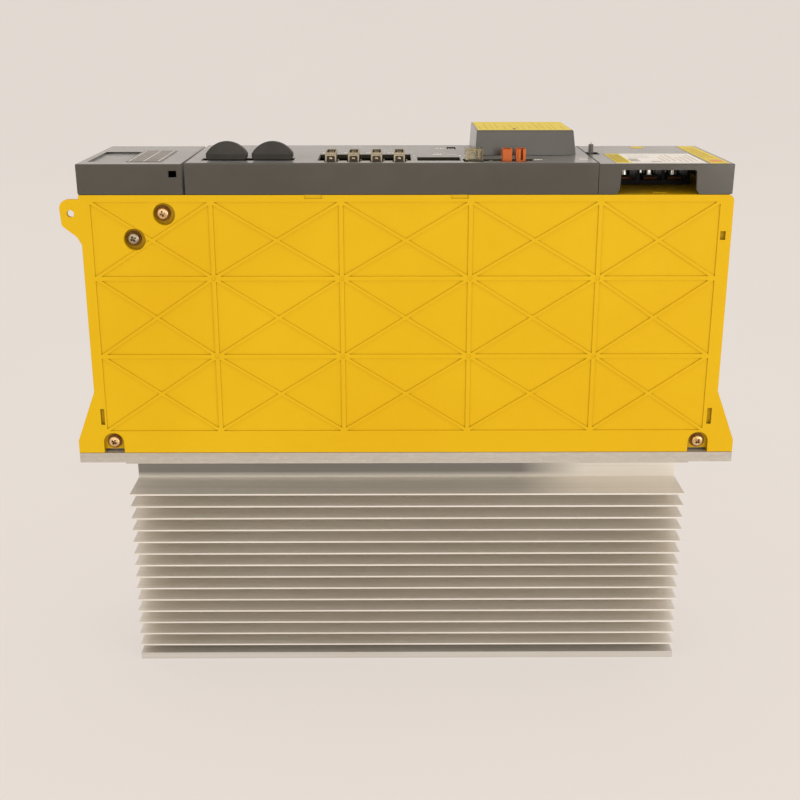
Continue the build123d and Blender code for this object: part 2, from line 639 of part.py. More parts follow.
pieces["fan_frame"] = fan_frame()
pieces["fan_stator"] = fan_stator()
pieces["fan_rotor"] = fan_rotor()
M3_HEAD = {"radius": M3, "head_radius": 2.6, "head_height": 2.0}
pieces["fan_screws"] = group(
    screw_at(CASE_HALF, sy * FAN_SCREW, FAN_HEIGHT + sz * FAN_SCREW, "+X", length=14.0, **M3_HEAD)
    for sy in (-1, 1) for sz in (-1, 1))


# ---------------------------------------------------------------- grey front cover
OPTICAL_SLOT = ((-112.9, -62.0), (-34.3, -22.8))
SIGNAL_SLOT = ((-48.9, 2.5), (-34.9, -4.8))
OPTION_SLOT = ((6.0, 29.8), (-35.2, -18.6))
HEADER_SLOT = ((31.1, 69.5), (-36.5, -27.6))
STATUS_WINDOW = ((24.7, 29.9), (21.8, 33.3))
BATTERY_WELL = ((43.5, 92.5), (-8.0, 40.0))
NOTCH_PLAY = 0.5           # round a connector that stands across a slot's edge
FRONT_UNDER = FRONT_FACE - FACE_THICK
COVER_EDGE = 0.5           # rounding of the hinged covers' top edges
FRONT_EDGE = 0.9


def open_box(x, low, face, corner):
    """A cover's shell: a top plate with skirts on all four sides, open underneath."""
    outer = block(x, (-HALF_WIDTH, HALF_WIDTH), (low, face))
    outer = fillet(outer.edges().group_by(Axis.Z)[-1], corner)
    inner = block((x[0] + COVER_WALL, x[1] - COVER_WALL),
                  (-HALF_WIDTH + COVER_WALL, HALF_WIDTH - COVER_WALL), (low - 1, face - FACE_THICK))
    return outer - inner


def connector_notches():
    """Where the slots are widened towards the edge for the connectors that stand across it."""
    spans = [(left, left + SIGNAL_WIDTH) for left in SIGNAL_CONNECTORS]
    notches = [(span, (SIGNAL_SPAN[0], SIGNAL_SLOT[1][0])) for span in spans]
    notches += [(span, (HEADER_SPAN[0], HEADER_SLOT[1][0])) for span in ORANGE_HEADERS + [CLEAR_HEADER[0]]]
    return [((x[0] - NOTCH_PLAY, x[1] + NOTCH_PLAY), (y[0] - NOTCH_PLAY, y[1] + 1)) for x, y in notches]


def snap_hook(x):
    """A hook that snaps through the deck, hanging from the cover's skirt."""
    hook = Polygon((42.0, DECK + 5), (40.6, DECK + 5), (40.6, DECK - 5.2), (41.8, DECK - 4.2),
                   (41.8, DECK - 2.6), (41.2, DECK - 2.6), (42.0, DECK), align=None)
    hook += panel((40.6, HALF_WIDTH - COVER_WALL), (DECK + 3, DECK + 5))
    return along_x(hook, x - 4, x + 4)


def front_cover():
    """The fixed middle cover, with its openings and the hooks that snap through the deck."""
    cover = open_box(FRONT_COVER, DECK, FRONT_FACE, FRONT_EDGE)
    slots = [OPTICAL_SLOT, SIGNAL_SLOT, OPTION_SLOT, HEADER_SLOT, STATUS_WINDOW, BATTERY_WELL]
    for across, along in slots + connector_notches():
        cover -= block(across, along, (FRONT_UNDER - 1, FRONT_FACE + 1))
    step = block((FRONT_COVER[0] - 1, FRONT_COVER[1] + 1), (-HALF_WIDTH - 1, -HALF_WIDTH + SHADOW_GAP[1]),
                 (DECK - 1, DECK + SHADOW_GAP[0]))
    for cutter in both_sides(step):
        cover -= cutter
    for x in SNAP_CENTRES:
        cover += snap_hook(x)
        cover += Rot(0, 0, 180) * snap_hook(-x)
    return cover


pieces["front_cover"] = front_cover()


# ---------------------------------------------------------------- control board and what stands on it
def control_board():
    board = block((-117.0, 101.0), (-BOARD_HALF, BOARD_HALF), (CONTROL_BOARD, BOARD_TOP))
    for x, y in BOARD_POSTS:
        board -= along_z(disc((x, y), M3_HOLE), CONTROL_BOARD - 1, BOARD_TOP + 1)
    return board


def board_post(x, y):
    ring = RegularPolygon(3.2, 6) - Circle(M3_HOLE)
    return along_z(Pos(x, y) * ring, DECK, CONTROL_BOARD)


pieces["control_board"] = control_board()
pieces["board_posts"] = group(board_post(x, y) for x, y in BOARD_POSTS)
pieces["board_screws"] = group(
    screw_at(x, y, BOARD_TOP, "+Z", length=7.5, **M3_HEAD)
    for x, y in BOARD_POSTS)


def optical_receptacle(x):
    """The socket that a light-guide plug, or its dust cap, pushes into."""
    body = block((x - 8, x + 8), (DUST_CAP_Y - 4.6, DUST_CAP_Y + 5.6), (BOARD_TOP, FRONT_FACE - 1.6))
    return body - block((x - 5, x + 5), (DUST_CAP_Y - 3, DUST_CAP_Y + 3), (BOARD_TOP + 3, FRONT_FACE))


pieces["optical_receptacles"] = group(optical_receptacle(x) for x in DUST_CAPS)

SHELL_THICK = 0.4


def signal_shell(left):
    """The bent metal shell of a signal connector, with its two lock posts at the ends."""
    x = (left, left + SIGNAL_WIDTH)
    inside = (left + SHELL_THICK, left + SIGNAL_WIDTH - SHELL_THICK)
    along = (SIGNAL_SPAN[0] + SHELL_THICK, SIGNAL_SPAN[1] - SHELL_THICK)
    shell = block(x, SIGNAL_SPAN, (BOARD_TOP, SIGNAL_TOP))
    return shell - block(inside, along, (BOARD_TOP - 1, SIGNAL_TOP + 1))


def signal_insert(left):
    """The moulded insert that fills the shell's foot and carries the contact blade."""
    inside = (left + SHELL_THICK, left + SIGNAL_WIDTH - SHELL_THICK)
    along = (SIGNAL_SPAN[0] + SHELL_THICK, SIGNAL_SPAN[1] - SHELL_THICK)
    middle = left + SIGNAL_WIDTH / 2
    blade = block((middle - 1, middle + 1), (along[0] + 3, along[1] - 3), (BOARD_TOP, SIGNAL_TOP - 1.2))
    return block(inside, along, (BOARD_TOP, SIGNAL_TOP - 7)) + blade


for number, left in enumerate(SIGNAL_CONNECTORS, start=1):
    pieces[f"signal_shell_{number}"] = signal_shell(left)
    pieces[f"signal_insert_{number}"] = signal_insert(left)


def pin_header(x, y, top, wall):
    """An open-topped header housing that stands on the control board."""
    housing = block(x, y, (BOARD_TOP, top))
    return housing - block((x[0] + wall, x[1] - wall), (y[0] + wall, y[1] - wall), (BOARD_TOP + 4, top + 1))


def orange_header(x, has_key_slot):
    housing = pin_header(x, HEADER_SPAN, HEADER_TOP, 1.0)
    if has_key_slot:
        middle = (x[0] + x[1]) / 2
        front = (HEADER_SPAN[0] - 1, HEADER_SPAN[0] + 2)
        housing -= block((middle - 0.7, middle + 0.7), front, (FACE - 1, HEADER_TOP + 1))
    return housing


pieces["option_connector"] = pin_header(*OPTION_CONNECTOR, OPTION_TOP, 1.2)
pieces["clear_header"] = pin_header(*CLEAR_HEADER, CLEAR_TOP, 1.1)
for number, span in enumerate(ORANGE_HEADERS, start=1):
    pieces[f"orange_header_{number}"] = orange_header(span, has_key_slot=number == 2)

led = along_z(disc(STATUS_LIGHT, 1.5), BOARD_TOP, 172.8)
pieces["status_led"] = fillet(led.edges().group_by(Axis.Z)[-1], 1.2)

window = [(low + 0.1, high - 0.1) for low, high in STATUS_WINDOW]
display = block((22.2, 32.4), (19.8, 35.3), (BOARD_TOP, FRONT_UNDER))
pieces["status_display"] = display + block(*window, (FRONT_UNDER, FRONT_FACE - 0.4))


# ---------------------------------------------------------------- backup battery
BATTERY_WALL = 1.8
BATTERY_DRAFT = (0.8, 1.6, 1.8, 0.5)   # of the -X, +X, -Y and +Y sides
CELL_RADIUS = 8.5
TRAY_FLOOR = 1.5


def battery_tray():
    """The open tray under the front cover's square opening."""
    tray = block((42.0, 94.0), (-9.5, 40.0), (BOARD_TOP, FRONT_UNDER))
    return tray - block((43.5, 92.5), (-8.0, 38.5), (BOARD_TOP + TRAY_FLOOR, FRONT_UNDER + 1))


def battery_cell(y):
    """One lithium cell lying along the drive, with its end button."""
    height = BOARD_TOP + TRAY_FLOOR + CELL_RADIUS + 0.1
    cell = along_x(disc((y, height), CELL_RADIUS), 47.0, 86.5)
    return cell + along_x(disc((y, height), 3.0), 86.0, 89.0)


def battery_cover():
    """The tall lift-off box over the cells, with draft on all its sides."""
    low = FRONT_FACE + COVER_GAP
    lean = BATTERY_DRAFT
    across = Polygon((BATTERY_X[0], low), (BATTERY_X[1], low), (BATTERY_X[1] - lean[1], BATTERY_TOP),
                     (BATTERY_X[0] + lean[0], BATTERY_TOP), align=None)
    along = Polygon((BATTERY_Y[0], low), (BATTERY_Y[1], low), (BATTERY_Y[1] - lean[3], BATTERY_TOP),
                    (BATTERY_Y[0] + lean[2], BATTERY_TOP), align=None)
    cover = along_y(across, *BATTERY_Y) & along_x(along, *BATTERY_X)
    cover = fillet(cover.edges().group_by(Axis.Z)[-1], 0.7)
    inner = block((BATTERY_X[0] + lean[0] + BATTERY_WALL, BATTERY_X[1] - lean[1] - BATTERY_WALL),
                  (BATTERY_Y[0] + lean[2] + BATTERY_WALL, BATTERY_Y[1] - lean[3] - BATTERY_WALL),
                  (low - 1, BATTERY_TOP - BATTERY_WALL))
    return cover - inner


LABEL_THICK = 0.2
LABEL_MARGIN = 0.8
pieces["battery_tray"] = battery_tray()
pieces["battery_pack"] = group(battery_cell(y) for y in (6.5, 25.0))
pieces["battery_cover"] = battery_cover()
pieces["battery_label"] = block(
    (BATTERY_X[0] + BATTERY_DRAFT[0] + LABEL_MARGIN, BATTERY_X[1] - BATTERY_DRAFT[1] - LABEL_MARGIN),
    (BATTERY_Y[0] + BATTERY_DRAFT[2] + LABEL_MARGIN, BATTERY_Y[1] - BATTERY_DRAFT[3] - LABEL_MARGIN),
    (BATTERY_TOP, BATTERY_TOP + LABEL_THICK))


# ---------------------------------------------------------------- hinged terminal covers
SIDE_WINDOW = (116.4, 157.5)
SIDE_WINDOW_TOP = 168.7
LATCH_SLOT = (104.0, 111.7)
LATCH_TAB = ((105.3, 108.3), (1.2, 4.4))
LATCH_TOP = 178.7
LATCH_PLATE = ((104.7, 118.0), (166.7, 169.3))
LATCH_LIPS = (107.0, 119.5)
SQUARE_HOLE = ((-129.2, -124.7), (164.7, 168.4))
SQUARE_HOLE_DEPTH = 2.5
CABLE_EXIT = ((-30.0, 30.0), 166.0)   # across the drive, and its top
LABEL_RECESS = ((-175.0, -154.2), (-34.7, 14.0))
RECESS_DEPTH = 1.0
WIRING_LABEL = ((-153.6, -134.4), (-35.0, 19.0))
REBATE = (0.6, 1.5)        # width and depth of the step along the top cover's inner edge
COVER_FOOT = DECK + COVER_GAP
KNUCKLE_RADIUS = HINGE_HEIGHT - COVER_FOOT - 0.1
KNUCKLE_HALF = 3.0
FACE_UNDER = FACE - FACE_THICK


def hinge_knuckles(side):
    """Two cheeks beside each hinge ear, solid up to the cover's top plate."""
    x = hinge_x(side)
    span = (x - KNUCKLE_HALF, x + KNUCKLE_HALF)
    outline = panel(span, (HINGE_HEIGHT, FACE_UNDER))
    outline += disc((x, HINGE_HEIGHT), KNUCKLE_RADIUS)
    inner = along_y(outline, HINGE_EAR[0] - 3, HINGE_EAR[0] - HINGE_PLAY)
    outer = along_y(outline, HINGE_EAR[1] + HINGE_PLAY, HALF_WIDTH - COVER_WALL)
    return both_sides(inner) + both_sides(outer)


def terminal_cover(x, side):
    """A shell that swings about its outer end, notched round the case's hinge ears."""
    foot = cover_foot(side)
    outer = foot + side * END_DRAFT
    cover = open_box(x, COVER_FOOT, FACE, COVER_EDGE)
    thickening = sorted((outer - side * COVER_EDGE, foot - side * COVER_WALL))
    cover += block(thickening, (-HALF_WIDTH + 1, HALF_WIDTH - 1), (COVER_FOOT, FACE_UNDER + 1))
    for knuckle in hinge_knuckles(side):
        cover += knuckle
    keep = Polygon((0, COVER_FOOT), (foot, COVER_FOOT), (outer, FACE), (outer, FACE + 1), (0, FACE + 1),
                   align=None)
    keep = fillet(keep.vertices().sort_by(Axis.Y)[:2].sort_by(Axis.X)[-1 if side > 0 else 0], LOWER_CORNER)
    cover = cover & along_y(keep, -HALF_WIDTH, HALF_WIDTH)
    pin_hole = along_y(disc((hinge_x(side), HINGE_HEIGHT), HINGE_HOLE_RADIUS),
                       HINGE_EAR[0] - 4, HALF_WIDTH - COVER_WALL)
    notch = block(sorted((foot - side * 6.5, outer + side)),
                  (HINGE_EAR[0] - HINGE_PLAY, HINGE_EAR[1] + HINGE_PLAY),
                  (DECK, HINGE_HEIGHT + HINGE_EAR_RADIUS + 0.8))
    for cutter in both_sides(pin_hole) + both_sides(notch):
        cover -= cutter
    return cover


def side_window():
    """Outline of the opening in the top cover's side, flared at its foot."""
    window = Polygon((SIDE_WINDOW[0], SIDE_WINDOW_TOP), (SIDE_WINDOW[1], SIDE_WINDOW_TOP),
                     (SIDE_WINDOW[1] + 0.4, DECK + 3), (SIDE_WINDOW[1] + 2.4, DECK),
                     (SIDE_WINDOW[0] - 2.2, DECK), (SIDE_WINDOW[0] - 0.4, DECK + 3), align=None)
    return fillet(window.vertices().group_by(Axis.Y)[-1], 1.5)


def top_terminal_cover():
    """The direct-current terminals' cover: side windows for the links to the next drive, latch slot."""
    cover = terminal_cover(TOP_COVER, 1)
    window = along_y(side_window(), -HALF_WIDTH - 1, -HALF_WIDTH + COVER_WALL + 0.1)
    slot = block(LATCH_SLOT, (LATCH_SPAN[0] - 0.4, LATCH_SPAN[1] + 0.4), (165.0, FACE + 1))
    rebate = block((TOP_COVER[0] - 1, TOP_COVER[0] + REBATE[0]), (1.5 - HALF_WIDTH, HALF_WIDTH - 1.5),
                   (FACE - REBATE[1], FACE + 1))
    for cutter in both_sides(window) + [slot, rebate]:
        cover -= cutter
    low = LATCH_PLATE[1][0]
    guides = [((LATCH_SPAN[0] - 1.8, LATCH_SPAN[0] - 0.3), (LATCH_SPAN[0] - 1.8, LATCH_SPAN[0] + 1.2)),
              ((LATCH_SPAN[1] + 0.3, LATCH_SPAN[1] + 1.8), (LATCH_SPAN[1] - 1.2, LATCH_SPAN[1] + 1.8))]
    for rail, lip in guides:
        cover += block(LATCH_LIPS, rail, (low - 1.6, FACE_UNDER))
        cover += block(LATCH_LIPS, lip, (low - 1.6, low - 0.3))
    return cover


def bottom_terminal_cover():
    """The motor terminals' cover: cable exit in its end, square snap pockets, recess for the label."""
    cover = terminal_cover(BOTTOM_COVER, -1)
    cover -= block((BOTTOM_COVER[0] - 1, BOTTOM_COVER[0] + 5), CABLE_EXIT[0], (DECK, CABLE_EXIT[1]))
    across, up = SQUARE_HOLE
    for pocket in both_sides(block(across, (-HALF_WIDTH - 1, -HALF_WIDTH + SQUARE_HOLE_DEPTH), up)):
        cover -= pocket
    return cover - block(*LABEL_RECESS, (FACE - RECESS_DEPTH, FACE + 1))


def cover_latch():
    """The sliding latch under the top cover: its tab is pushed towards the drive's top end."""
    plate = block(LATCH_PLATE[0], LATCH_SPAN, LATCH_PLATE[1])
    tab = block(*LATCH_TAB, (LATCH_PLATE[1][0], LATCH_TOP))
    return plate + fillet(tab.edges().filter_by(Axis.Y).group_by(Axis.Z)[-1], 1.2)


def hinge_pins(side):
    """Two short steel pins, one through each ear and its cheeks."""
    centre = disc((hinge_x(side), HINGE_HEIGHT), HINGE_PIN_RADIUS)
    return both_sides(along_y(centre, HINGE_EAR[0] - 3, HALF_WIDTH - COVER_WALL - 0.2))


pieces["top_terminal_cover"] = top_terminal_cover()
pieces["bottom_terminal_cover"] = bottom_terminal_cover()
pieces["cover_latch"] = cover_latch()
pieces["hinge_pins"] = group(hinge_pins(-1) + hinge_pins(1))

LABEL = (FACE, FACE + LABEL_THICK)
pieces["rating_label"] = block((114.0, 162.8), (-42.3, 1.5), LABEL)
pieces["caution_strip"] = block((165.0, 175.0), (-43.5, 41.0), LABEL)
pieces["dot_sticker"] = along_z(disc((139.9, 35.5), 4.2), *LABEL)
pieces["wiring_label"] = block(*WIRING_LABEL, LABEL)


# ---------------------------------------------------------------- rubber dust caps
CAP_TOP = 182.85
CAP_HALF = 11.2
CAP_FOOT_HALF = 10.3
CAP_FOOT_RISE = 0.8        # the underside is raised at both ends
CAP_SHOULDER = 176.4
CAP_GRIP_Y = (-36.3, -28.8)


def dust_cap(x):
    """A half-round rubber grip on a plug that fits the optical receptacle."""
    low = FRONT_FACE + COVER_GAP
    sides = Polyline((x + CAP_HALF, CAP_SHOULDER), (x + CAP_HALF, low + CAP_FOOT_RISE),
                     (x + CAP_FOOT_HALF, low), (x - CAP_FOOT_HALF, low),
                     (x - CAP_HALF, low + CAP_FOOT_RISE), (x - CAP_HALF, CAP_SHOULDER))
    crown = ThreePointArc((x - CAP_HALF, CAP_SHOULDER), (x, CAP_TOP), (x + CAP_HALF, CAP_SHOULDER))
    grip = along_y(make_face(sides + crown), *CAP_GRIP_Y)
    grip = fillet(grip.edges().filter_by(GeomType.CIRCLE), 0.8)
    plug = block((x - 4.8, x + 4.8), (DUST_CAP_Y - 2.7, DUST_CAP_Y + 1.7), (BOARD_TOP + 5, low + 0.5))
    return grip + plug


for number, x in enumerate(DUST_CAPS, start=1):
    pieces[f"dust_cap_{number}"] = dust_cap(x)


# ---------------------------------------------------------------- one file for each piece
os.makedirs("parts", exist_ok=True)
for name, shape in pieces.items():
    export_step(Pos(0, 0, SINK_DEPTH) * shape, f"parts/{name}.step")
    print(name)
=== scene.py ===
import json
import math
import random

import bmesh
import bpy
from mathutils import Matrix, Vector


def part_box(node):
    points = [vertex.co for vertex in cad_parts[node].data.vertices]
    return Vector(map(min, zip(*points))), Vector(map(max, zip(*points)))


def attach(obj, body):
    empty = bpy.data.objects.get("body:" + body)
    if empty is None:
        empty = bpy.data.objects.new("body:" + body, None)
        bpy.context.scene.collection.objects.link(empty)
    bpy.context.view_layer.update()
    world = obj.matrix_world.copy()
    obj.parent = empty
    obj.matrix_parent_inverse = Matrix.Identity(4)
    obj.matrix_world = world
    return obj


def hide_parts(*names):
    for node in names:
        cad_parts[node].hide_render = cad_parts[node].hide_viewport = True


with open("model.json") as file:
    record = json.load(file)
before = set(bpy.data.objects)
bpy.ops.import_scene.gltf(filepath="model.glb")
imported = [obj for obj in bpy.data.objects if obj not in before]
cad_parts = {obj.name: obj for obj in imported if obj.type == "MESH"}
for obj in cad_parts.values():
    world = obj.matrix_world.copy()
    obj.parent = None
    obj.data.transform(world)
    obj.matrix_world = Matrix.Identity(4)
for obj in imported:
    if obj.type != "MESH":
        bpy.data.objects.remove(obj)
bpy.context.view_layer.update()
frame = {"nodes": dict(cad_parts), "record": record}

# The looks of a servo drive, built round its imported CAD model. +X is the drive's top end, +Z comes
# out of its front face and +Y is its left side. Lengths below are in millimetres above the plane of
# the flange ears' rear face, unless a name says otherwise, and mm() turns them into metres.
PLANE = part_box("heat_sink")[1].z - 0.0058
MM = 0.001
FIN_TOP = 0.1097           # where the first fin ends and the web begins, in metres above the ground
WEB_HALF = 0.0160          # half the width of the web, in metres
BOARD_TOP = 160.1          # the control board's upper face
FRONT_FACE = 172.6         # the grey front cover
COVER_FACE = 172.0          # the terminal covers, which lie a little lower
LABEL_TOP = COVER_FACE + 0.2
BATTERY_LABEL_TOP = 186.66
TERMINAL_SEAT = 159.5      # where the heads of the terminal screws rest
CAP_PLACES = (-98.5, -73.5)
SIGNAL_WIDTH = 6.2
PIN_WIDTH = 0.5
PRINT_THICKNESS = 0.03
BEVEL_ANGLE = 35.0
LAMP_COLOUR = (1.0, 0.97, 0.93)
random.seed(7)


def mm(x, y, z):
    """A place in the drive, from millimetres over the mounting plane to metres in the frame."""
    return Vector((x * MM, y * MM, z * MM + PLANE))


# ---------------------------------------------------------------- node graphs
class Graph:
    """A material under construction: add() makes a node, and sockets are linked or set by name."""

    def __init__(self, name, **surface):
        self.material = bpy.data.materials.new(name)
        self.material.use_nodes = True
        self.nodes = self.material.node_tree.nodes
        self.links = self.material.node_tree.links
        self.shader = self.nodes["Principled BSDF"]
        self.set(self.shader, surface)

    def set(self, node, values):
        for key, value in values.items():
            socket = node.inputs[key]
            if isinstance(value, bpy.types.NodeSocket):
                self.links.new(value, socket)
            elif isinstance(value, tuple) and len(value) == 3 and socket.type == "RGBA":
                socket.default_value = (*value, 1.0)
            else:
                socket.default_value = value

    def add(self, kind, attributes=None, inputs=None):
        node = self.nodes.new(kind)
        for key, value in (attributes or {}).items():
            setattr(node, key, value)
        self.set(node, inputs or {})
        return node

    def place(self, stretch=(1, 1, 1)):
        """Coordinates fixed to the piece, in metres, stretched along its axes."""
        coordinates = self.add("ShaderNodeTexCoord").outputs["Object"]
        mapping = self.add("ShaderNodeMapping", inputs={"Vector": coordinates, "Scale": stretch})
        return mapping.outputs["Vector"]

    def noise(self, scale, detail=3.0, roughness=0.55, stretch=(1, 1, 1), distortion=0.0):
        node = self.add("ShaderNodeTexNoise", inputs={
            "Vector": self.place(stretch), "Scale": scale, "Detail": detail,
            "Roughness": roughness, "Distortion": distortion})
        return node.outputs["Fac"]

    def cells(self, scale):
        node = self.add("ShaderNodeTexVoronoi", {"feature": "F1"},
                        {"Vector": self.place(), "Scale": scale})
        return node.outputs["Distance"]

    def ramp(self, value, *stops):
        """Colours or greys at positions: ramp(value, (0.4, dark), (0.6, light))."""
        node = self.add("ShaderNodeValToRGB", inputs={"Fac": value})
        ramp = node.color_ramp
        while len(ramp.elements) < len(stops):
            ramp.elements.new(0.5)
        for element, (position, colour) in zip(ramp.elements, stops):
            element.position = position
            if not isinstance(colour, tuple):
                colour = (colour, colour, colour)
            element.color = (*colour, 1.0)
        return node.outputs["Color"]

    def mix(self, share, first, second, kind="MIX"):
        node = self.add("ShaderNodeMix", {"data_type": "RGBA", "blend_type": kind})
        for socket, value in ((node.inputs[0], share), (node.inputs[6], first), (node.inputs[7], second)):
            if isinstance(value, bpy.types.NodeSocket):
                self.links.new(value, socket)
            else:
                socket.default_value = (*value, 1.0) if isinstance(value, tuple) else value
        return node.outputs[2]

    def bump(self, height, strength, distance, under=None):
        values = {"Height": height, "Strength": strength, "Distance": distance}
        if under is not None:
            values["Normal"] = under
        return self.add("ShaderNodeBump", inputs=values).outputs["Normal"]

    def painted_corner_shade(self, reach, low, open_at=0.9):
        """Painted shade in corners: the colour is darkened from low in a deep corner to none where it is
        open.
        """
        shade = self.add("ShaderNodeAmbientOcclusion", {"samples": 6}, {"Distance": reach})
        return self.ramp(shade.outputs["AO"], (0.25, low), (open_at, 1.0))

    def finish(self, **surface):
        self.set(self.shader, surface)
        return self.material


def srgb(red, green, blue):
    """A colour given as 0-255 screen values, in the linear form that shaders take."""
    def linear(value):
        value = value / 255
        return value / 12.92 if value <= 0.04045 else ((value + 0.055) / 1.055) ** 2.4
    return (linear(red), linear(green), linear(blue))


def case_yellow():
    """Satin moulded plastic: warmer and paler patches, orange peel, faint scuffs, and painted shade in the
    corners.
    """
    g = Graph("case_yellow", **{"Specular IOR Level": 0.16})
    patches = g.ramp(g.noise(9, 4, 0.6), (0.35, srgb(228, 180, 9)), (0.65, srgb(232, 187, 16)))
    stain = g.ramp(g.noise(40, 5, 0.7), (0.5, 0.0), (0.85, 0.16))
    colour = g.mix(stain, patches, srgb(220, 173, 14))
    # Painted shade: the colour is darker in corners, recesses and at the feet of the ribs.
    colour = g.mix(1.0, colour, g.painted_corner_shade(0.006, 0.40, 0.72), "MULTIPLY")
    scuff = g.ramp(g.noise(190, 2, 0.5, (1, 1, 0.25), 1.5), (0.70, 0.0), (0.78, 0.12))
    colour = g.mix(scuff, colour, srgb(236, 200, 78))
    peel = g.bump(g.noise(1500, 2), 0.06, 0.0002)
    fine = g.bump(g.noise(5200, 2), 0.08, 0.0001, peel)
    rough = g.ramp(g.noise(70, 4), (0.3, 0.42), (0.7, 0.52))
    return g.finish(**{"Base Color": colour, "Roughness": rough, "Normal": fine})


def cover_grey(name="cover_grey", dark=(55, 49, 36), light=(64, 58, 45)):
    """Warm grey moulding with a spark-eroded texture, cloudy handling marks and a few pale scratches."""
    g = Graph(name, IOR=1.70, **{"Sheen Weight": 0.30, "Sheen Roughness": 0.35})
    colour = g.ramp(g.noise(16, 5, 0.65), (0.3, srgb(*dark)), (0.7, srgb(*light)))
    speckle = g.ramp(g.noise(3000, 2, 0.7), (0.4, 0.92), (0.6, 1.0))
    colour = g.mix(1.0, colour, speckle, "MULTIPLY")
    # Painted shade: the colour is darker in corners and recesses.
    colour = g.mix(1.0, colour, g.painted_corner_shade(0.004, 0.35), "MULTIPLY")
    scratch = g.ramp(g.noise(150, 3, 0.6, (1, 0.15, 1), 2.0), (0.76, 0.0), (0.80, 0.04))
    colour = g.mix(scratch, colour, srgb(150, 143, 132))
    grain = g.bump(g.noise(2600, 3, 0.7), 0.10, 0.0001)
    rough = g.ramp(g.noise(60, 4), (0.3, 0.17), (0.7, 0.23))
    return g.finish(**{"Base Color": colour, "Roughness": rough, "Normal": grain})


def extruded_aluminium():
    """Mill-finish extrusion: drawing lines along X, cloudy oxide, nicks, and torn, mottled flange edges
    that are also darkened as painted shade.

    The shadow that the photo has on the web and on the last fin is part of the colour here. It follows
    the place along X and Z, so it stays where it is under any other light.
    """
    g = Graph("raw_aluminium", Metallic=0.55)
    lines = g.noise(900, 3, 0.7, (0.004, 1, 1))
    cloud = g.noise(24, 5, 0.6, (0.35, 1, 1))
    colour = g.ramp(cloud, (0.3, srgb(238, 232, 222)), (0.7, srgb(246, 242, 234)))
    colour = g.mix(0.3, colour, g.ramp(lines, (0.35, srgb(214, 206, 192)), (0.65, srgb(250, 246, 240))))
    blotch = g.ramp(g.noise(420, 4, 0.6, (0.4, 1, 1)), (0.64, 0.0), (0.8, 0.35))
    colour = g.mix(blotch, colour, srgb(204, 194, 180))
    place = g.add("ShaderNodeSeparateXYZ", inputs={"Vector": g.place()})
    across = g.add("ShaderNodeMath", {"operation": "ABSOLUTE"}, {0: place.outputs["Y"]})
    # Beyond |Y| 44.95 mm the flange edges take a torn, mottled colour that is also kept dark as painted
    # shade.
    edge = g.ramp(across.outputs[0], (0.04495, 0.0), (0.04500, 1.0))
    tear = g.noise(700, 6, 0.75, (0.25, 1, 1), 1.0)
    torn_and_shaded_edge = g.ramp(tear, (0.3, srgb(100, 87, 73)), (0.5, srgb(140, 126, 110)), (0.75, srgb(176, 162, 145)))
    colour = g.mix(edge, colour, torn_and_shaded_edge)
    web = g.ramp(place.outputs["Z"], (FIN_TOP + 0.00005, 0.0), (FIN_TOP + 0.0001, 1.0))
    inside = g.ramp(across.outputs[0], (WEB_HALF - 0.0004, 1.0), (WEB_HALF + 0.0004, 0.0))
    web = g.mix(inside, (0.0, 0.0, 0.0), web)
    shade = g.ramp(place.outputs["X"], (0.070, 0.28), (0.108, 1.0))
    colour = g.mix(web, colour, g.mix(1.0, colour, shade, "MULTIPLY"))
    depth = g.ramp(place.outputs["Z"], (0.0042, 0.76), (0.0060, 1.0))
    colour = g.mix(1.0, colour, depth, "MULTIPLY")
    rough = g.ramp(g.noise(120, 4, 0.6, (0.05, 1, 1)), (0.25, 0.36), (0.75, 0.5))
    drawn = g.bump(lines, 0.22, 0.0002)
    nicks = g.bump(g.ramp(g.cells(260), (0.05, 0.0), (0.16, 1.0)), 0.08, 0.0002, drawn)
    ragged = g.bump(g.mix(edge, (0.5, 0.5, 0.5), tear), 0.6, 0.0003, nicks)
    return g.finish(**{"Base Color": colour, "Roughness": rough, "Normal": ragged})


def plated(name, tints, roughness=(0.22, 0.4), scale=180.0):
    """Plated metal whose passivation shifts between several tints."""
    g = Graph(name, Metallic=1.0)
    stops = [(0.3 + 0.4 * k / (len(tints) - 1), srgb(*tint)) for k, tint in enumerate(tints)]
    colour = g.ramp(g.noise(scale, 3, 0.6, distortion=0.8), *stops)
    # Painted shade: the colour is darker in corners and recesses.
    colour = g.mix(1.0, colour, g.painted_corner_shade(0.0015, 0.35), "MULTIPLY")
    rough = g.ramp(g.noise(scale * 3, 3), (0.3, roughness[0]), (0.7, roughness[1]))
    bump = g.bump(g.noise(scale * 14, 2), 0.15, 0.00008)
    return g.finish(**{"Base Color": colour, "Roughness": rough, "Normal": bump})


def moulded(name, dark, light, roughness=(0.4, 0.6), grain=2200.0, specular=0.5):
    """A moulded plastic or rubber with a cloudy colour and a fine grain."""
    g = Graph(name, **{"Specular IOR Level": specular})
    colour = g.ramp(g.noise(60, 4, 0.6), (0.3, srgb(*dark)), (0.7, srgb(*light)))
    # Painted shade: the colour is darker in corners and recesses.
    colour = g.mix(1.0, colour, g.painted_corner_shade(0.002, 0.5), "MULTIPLY")
    rough = g.ramp(g.noise(220, 3), (0.3, roughness[0]), (0.7, roughness[1]))
    bump = g.bump(g.noise(grain, 2), 0.2, 0.0001)
    return g.finish(**{"Base Color": colour, "Roughness": rough, "Normal": bump})


def clear_plastic(name, tint, roughness, clearness=0.85):
    """A yellowed clear moulding with faint flow lines."""
    g = Graph(name, IOR=1.5, **{"Transmission Weight": clearness})
    colour = g.ramp(g.noise(160, 3), (0.3, srgb(*tint)), (0.7, srgb(*[min(255, c + 10) for c in tint])))
    rough = g.ramp(g.noise(500, 3), (0.3, roughness), (0.7, roughness * 1.6))
    bump = g.bump(g.noise(700, 2), 0.03, 0.0001)
    return g.finish(**{"Base Color": colour, "Roughness": rough, "Normal": bump})


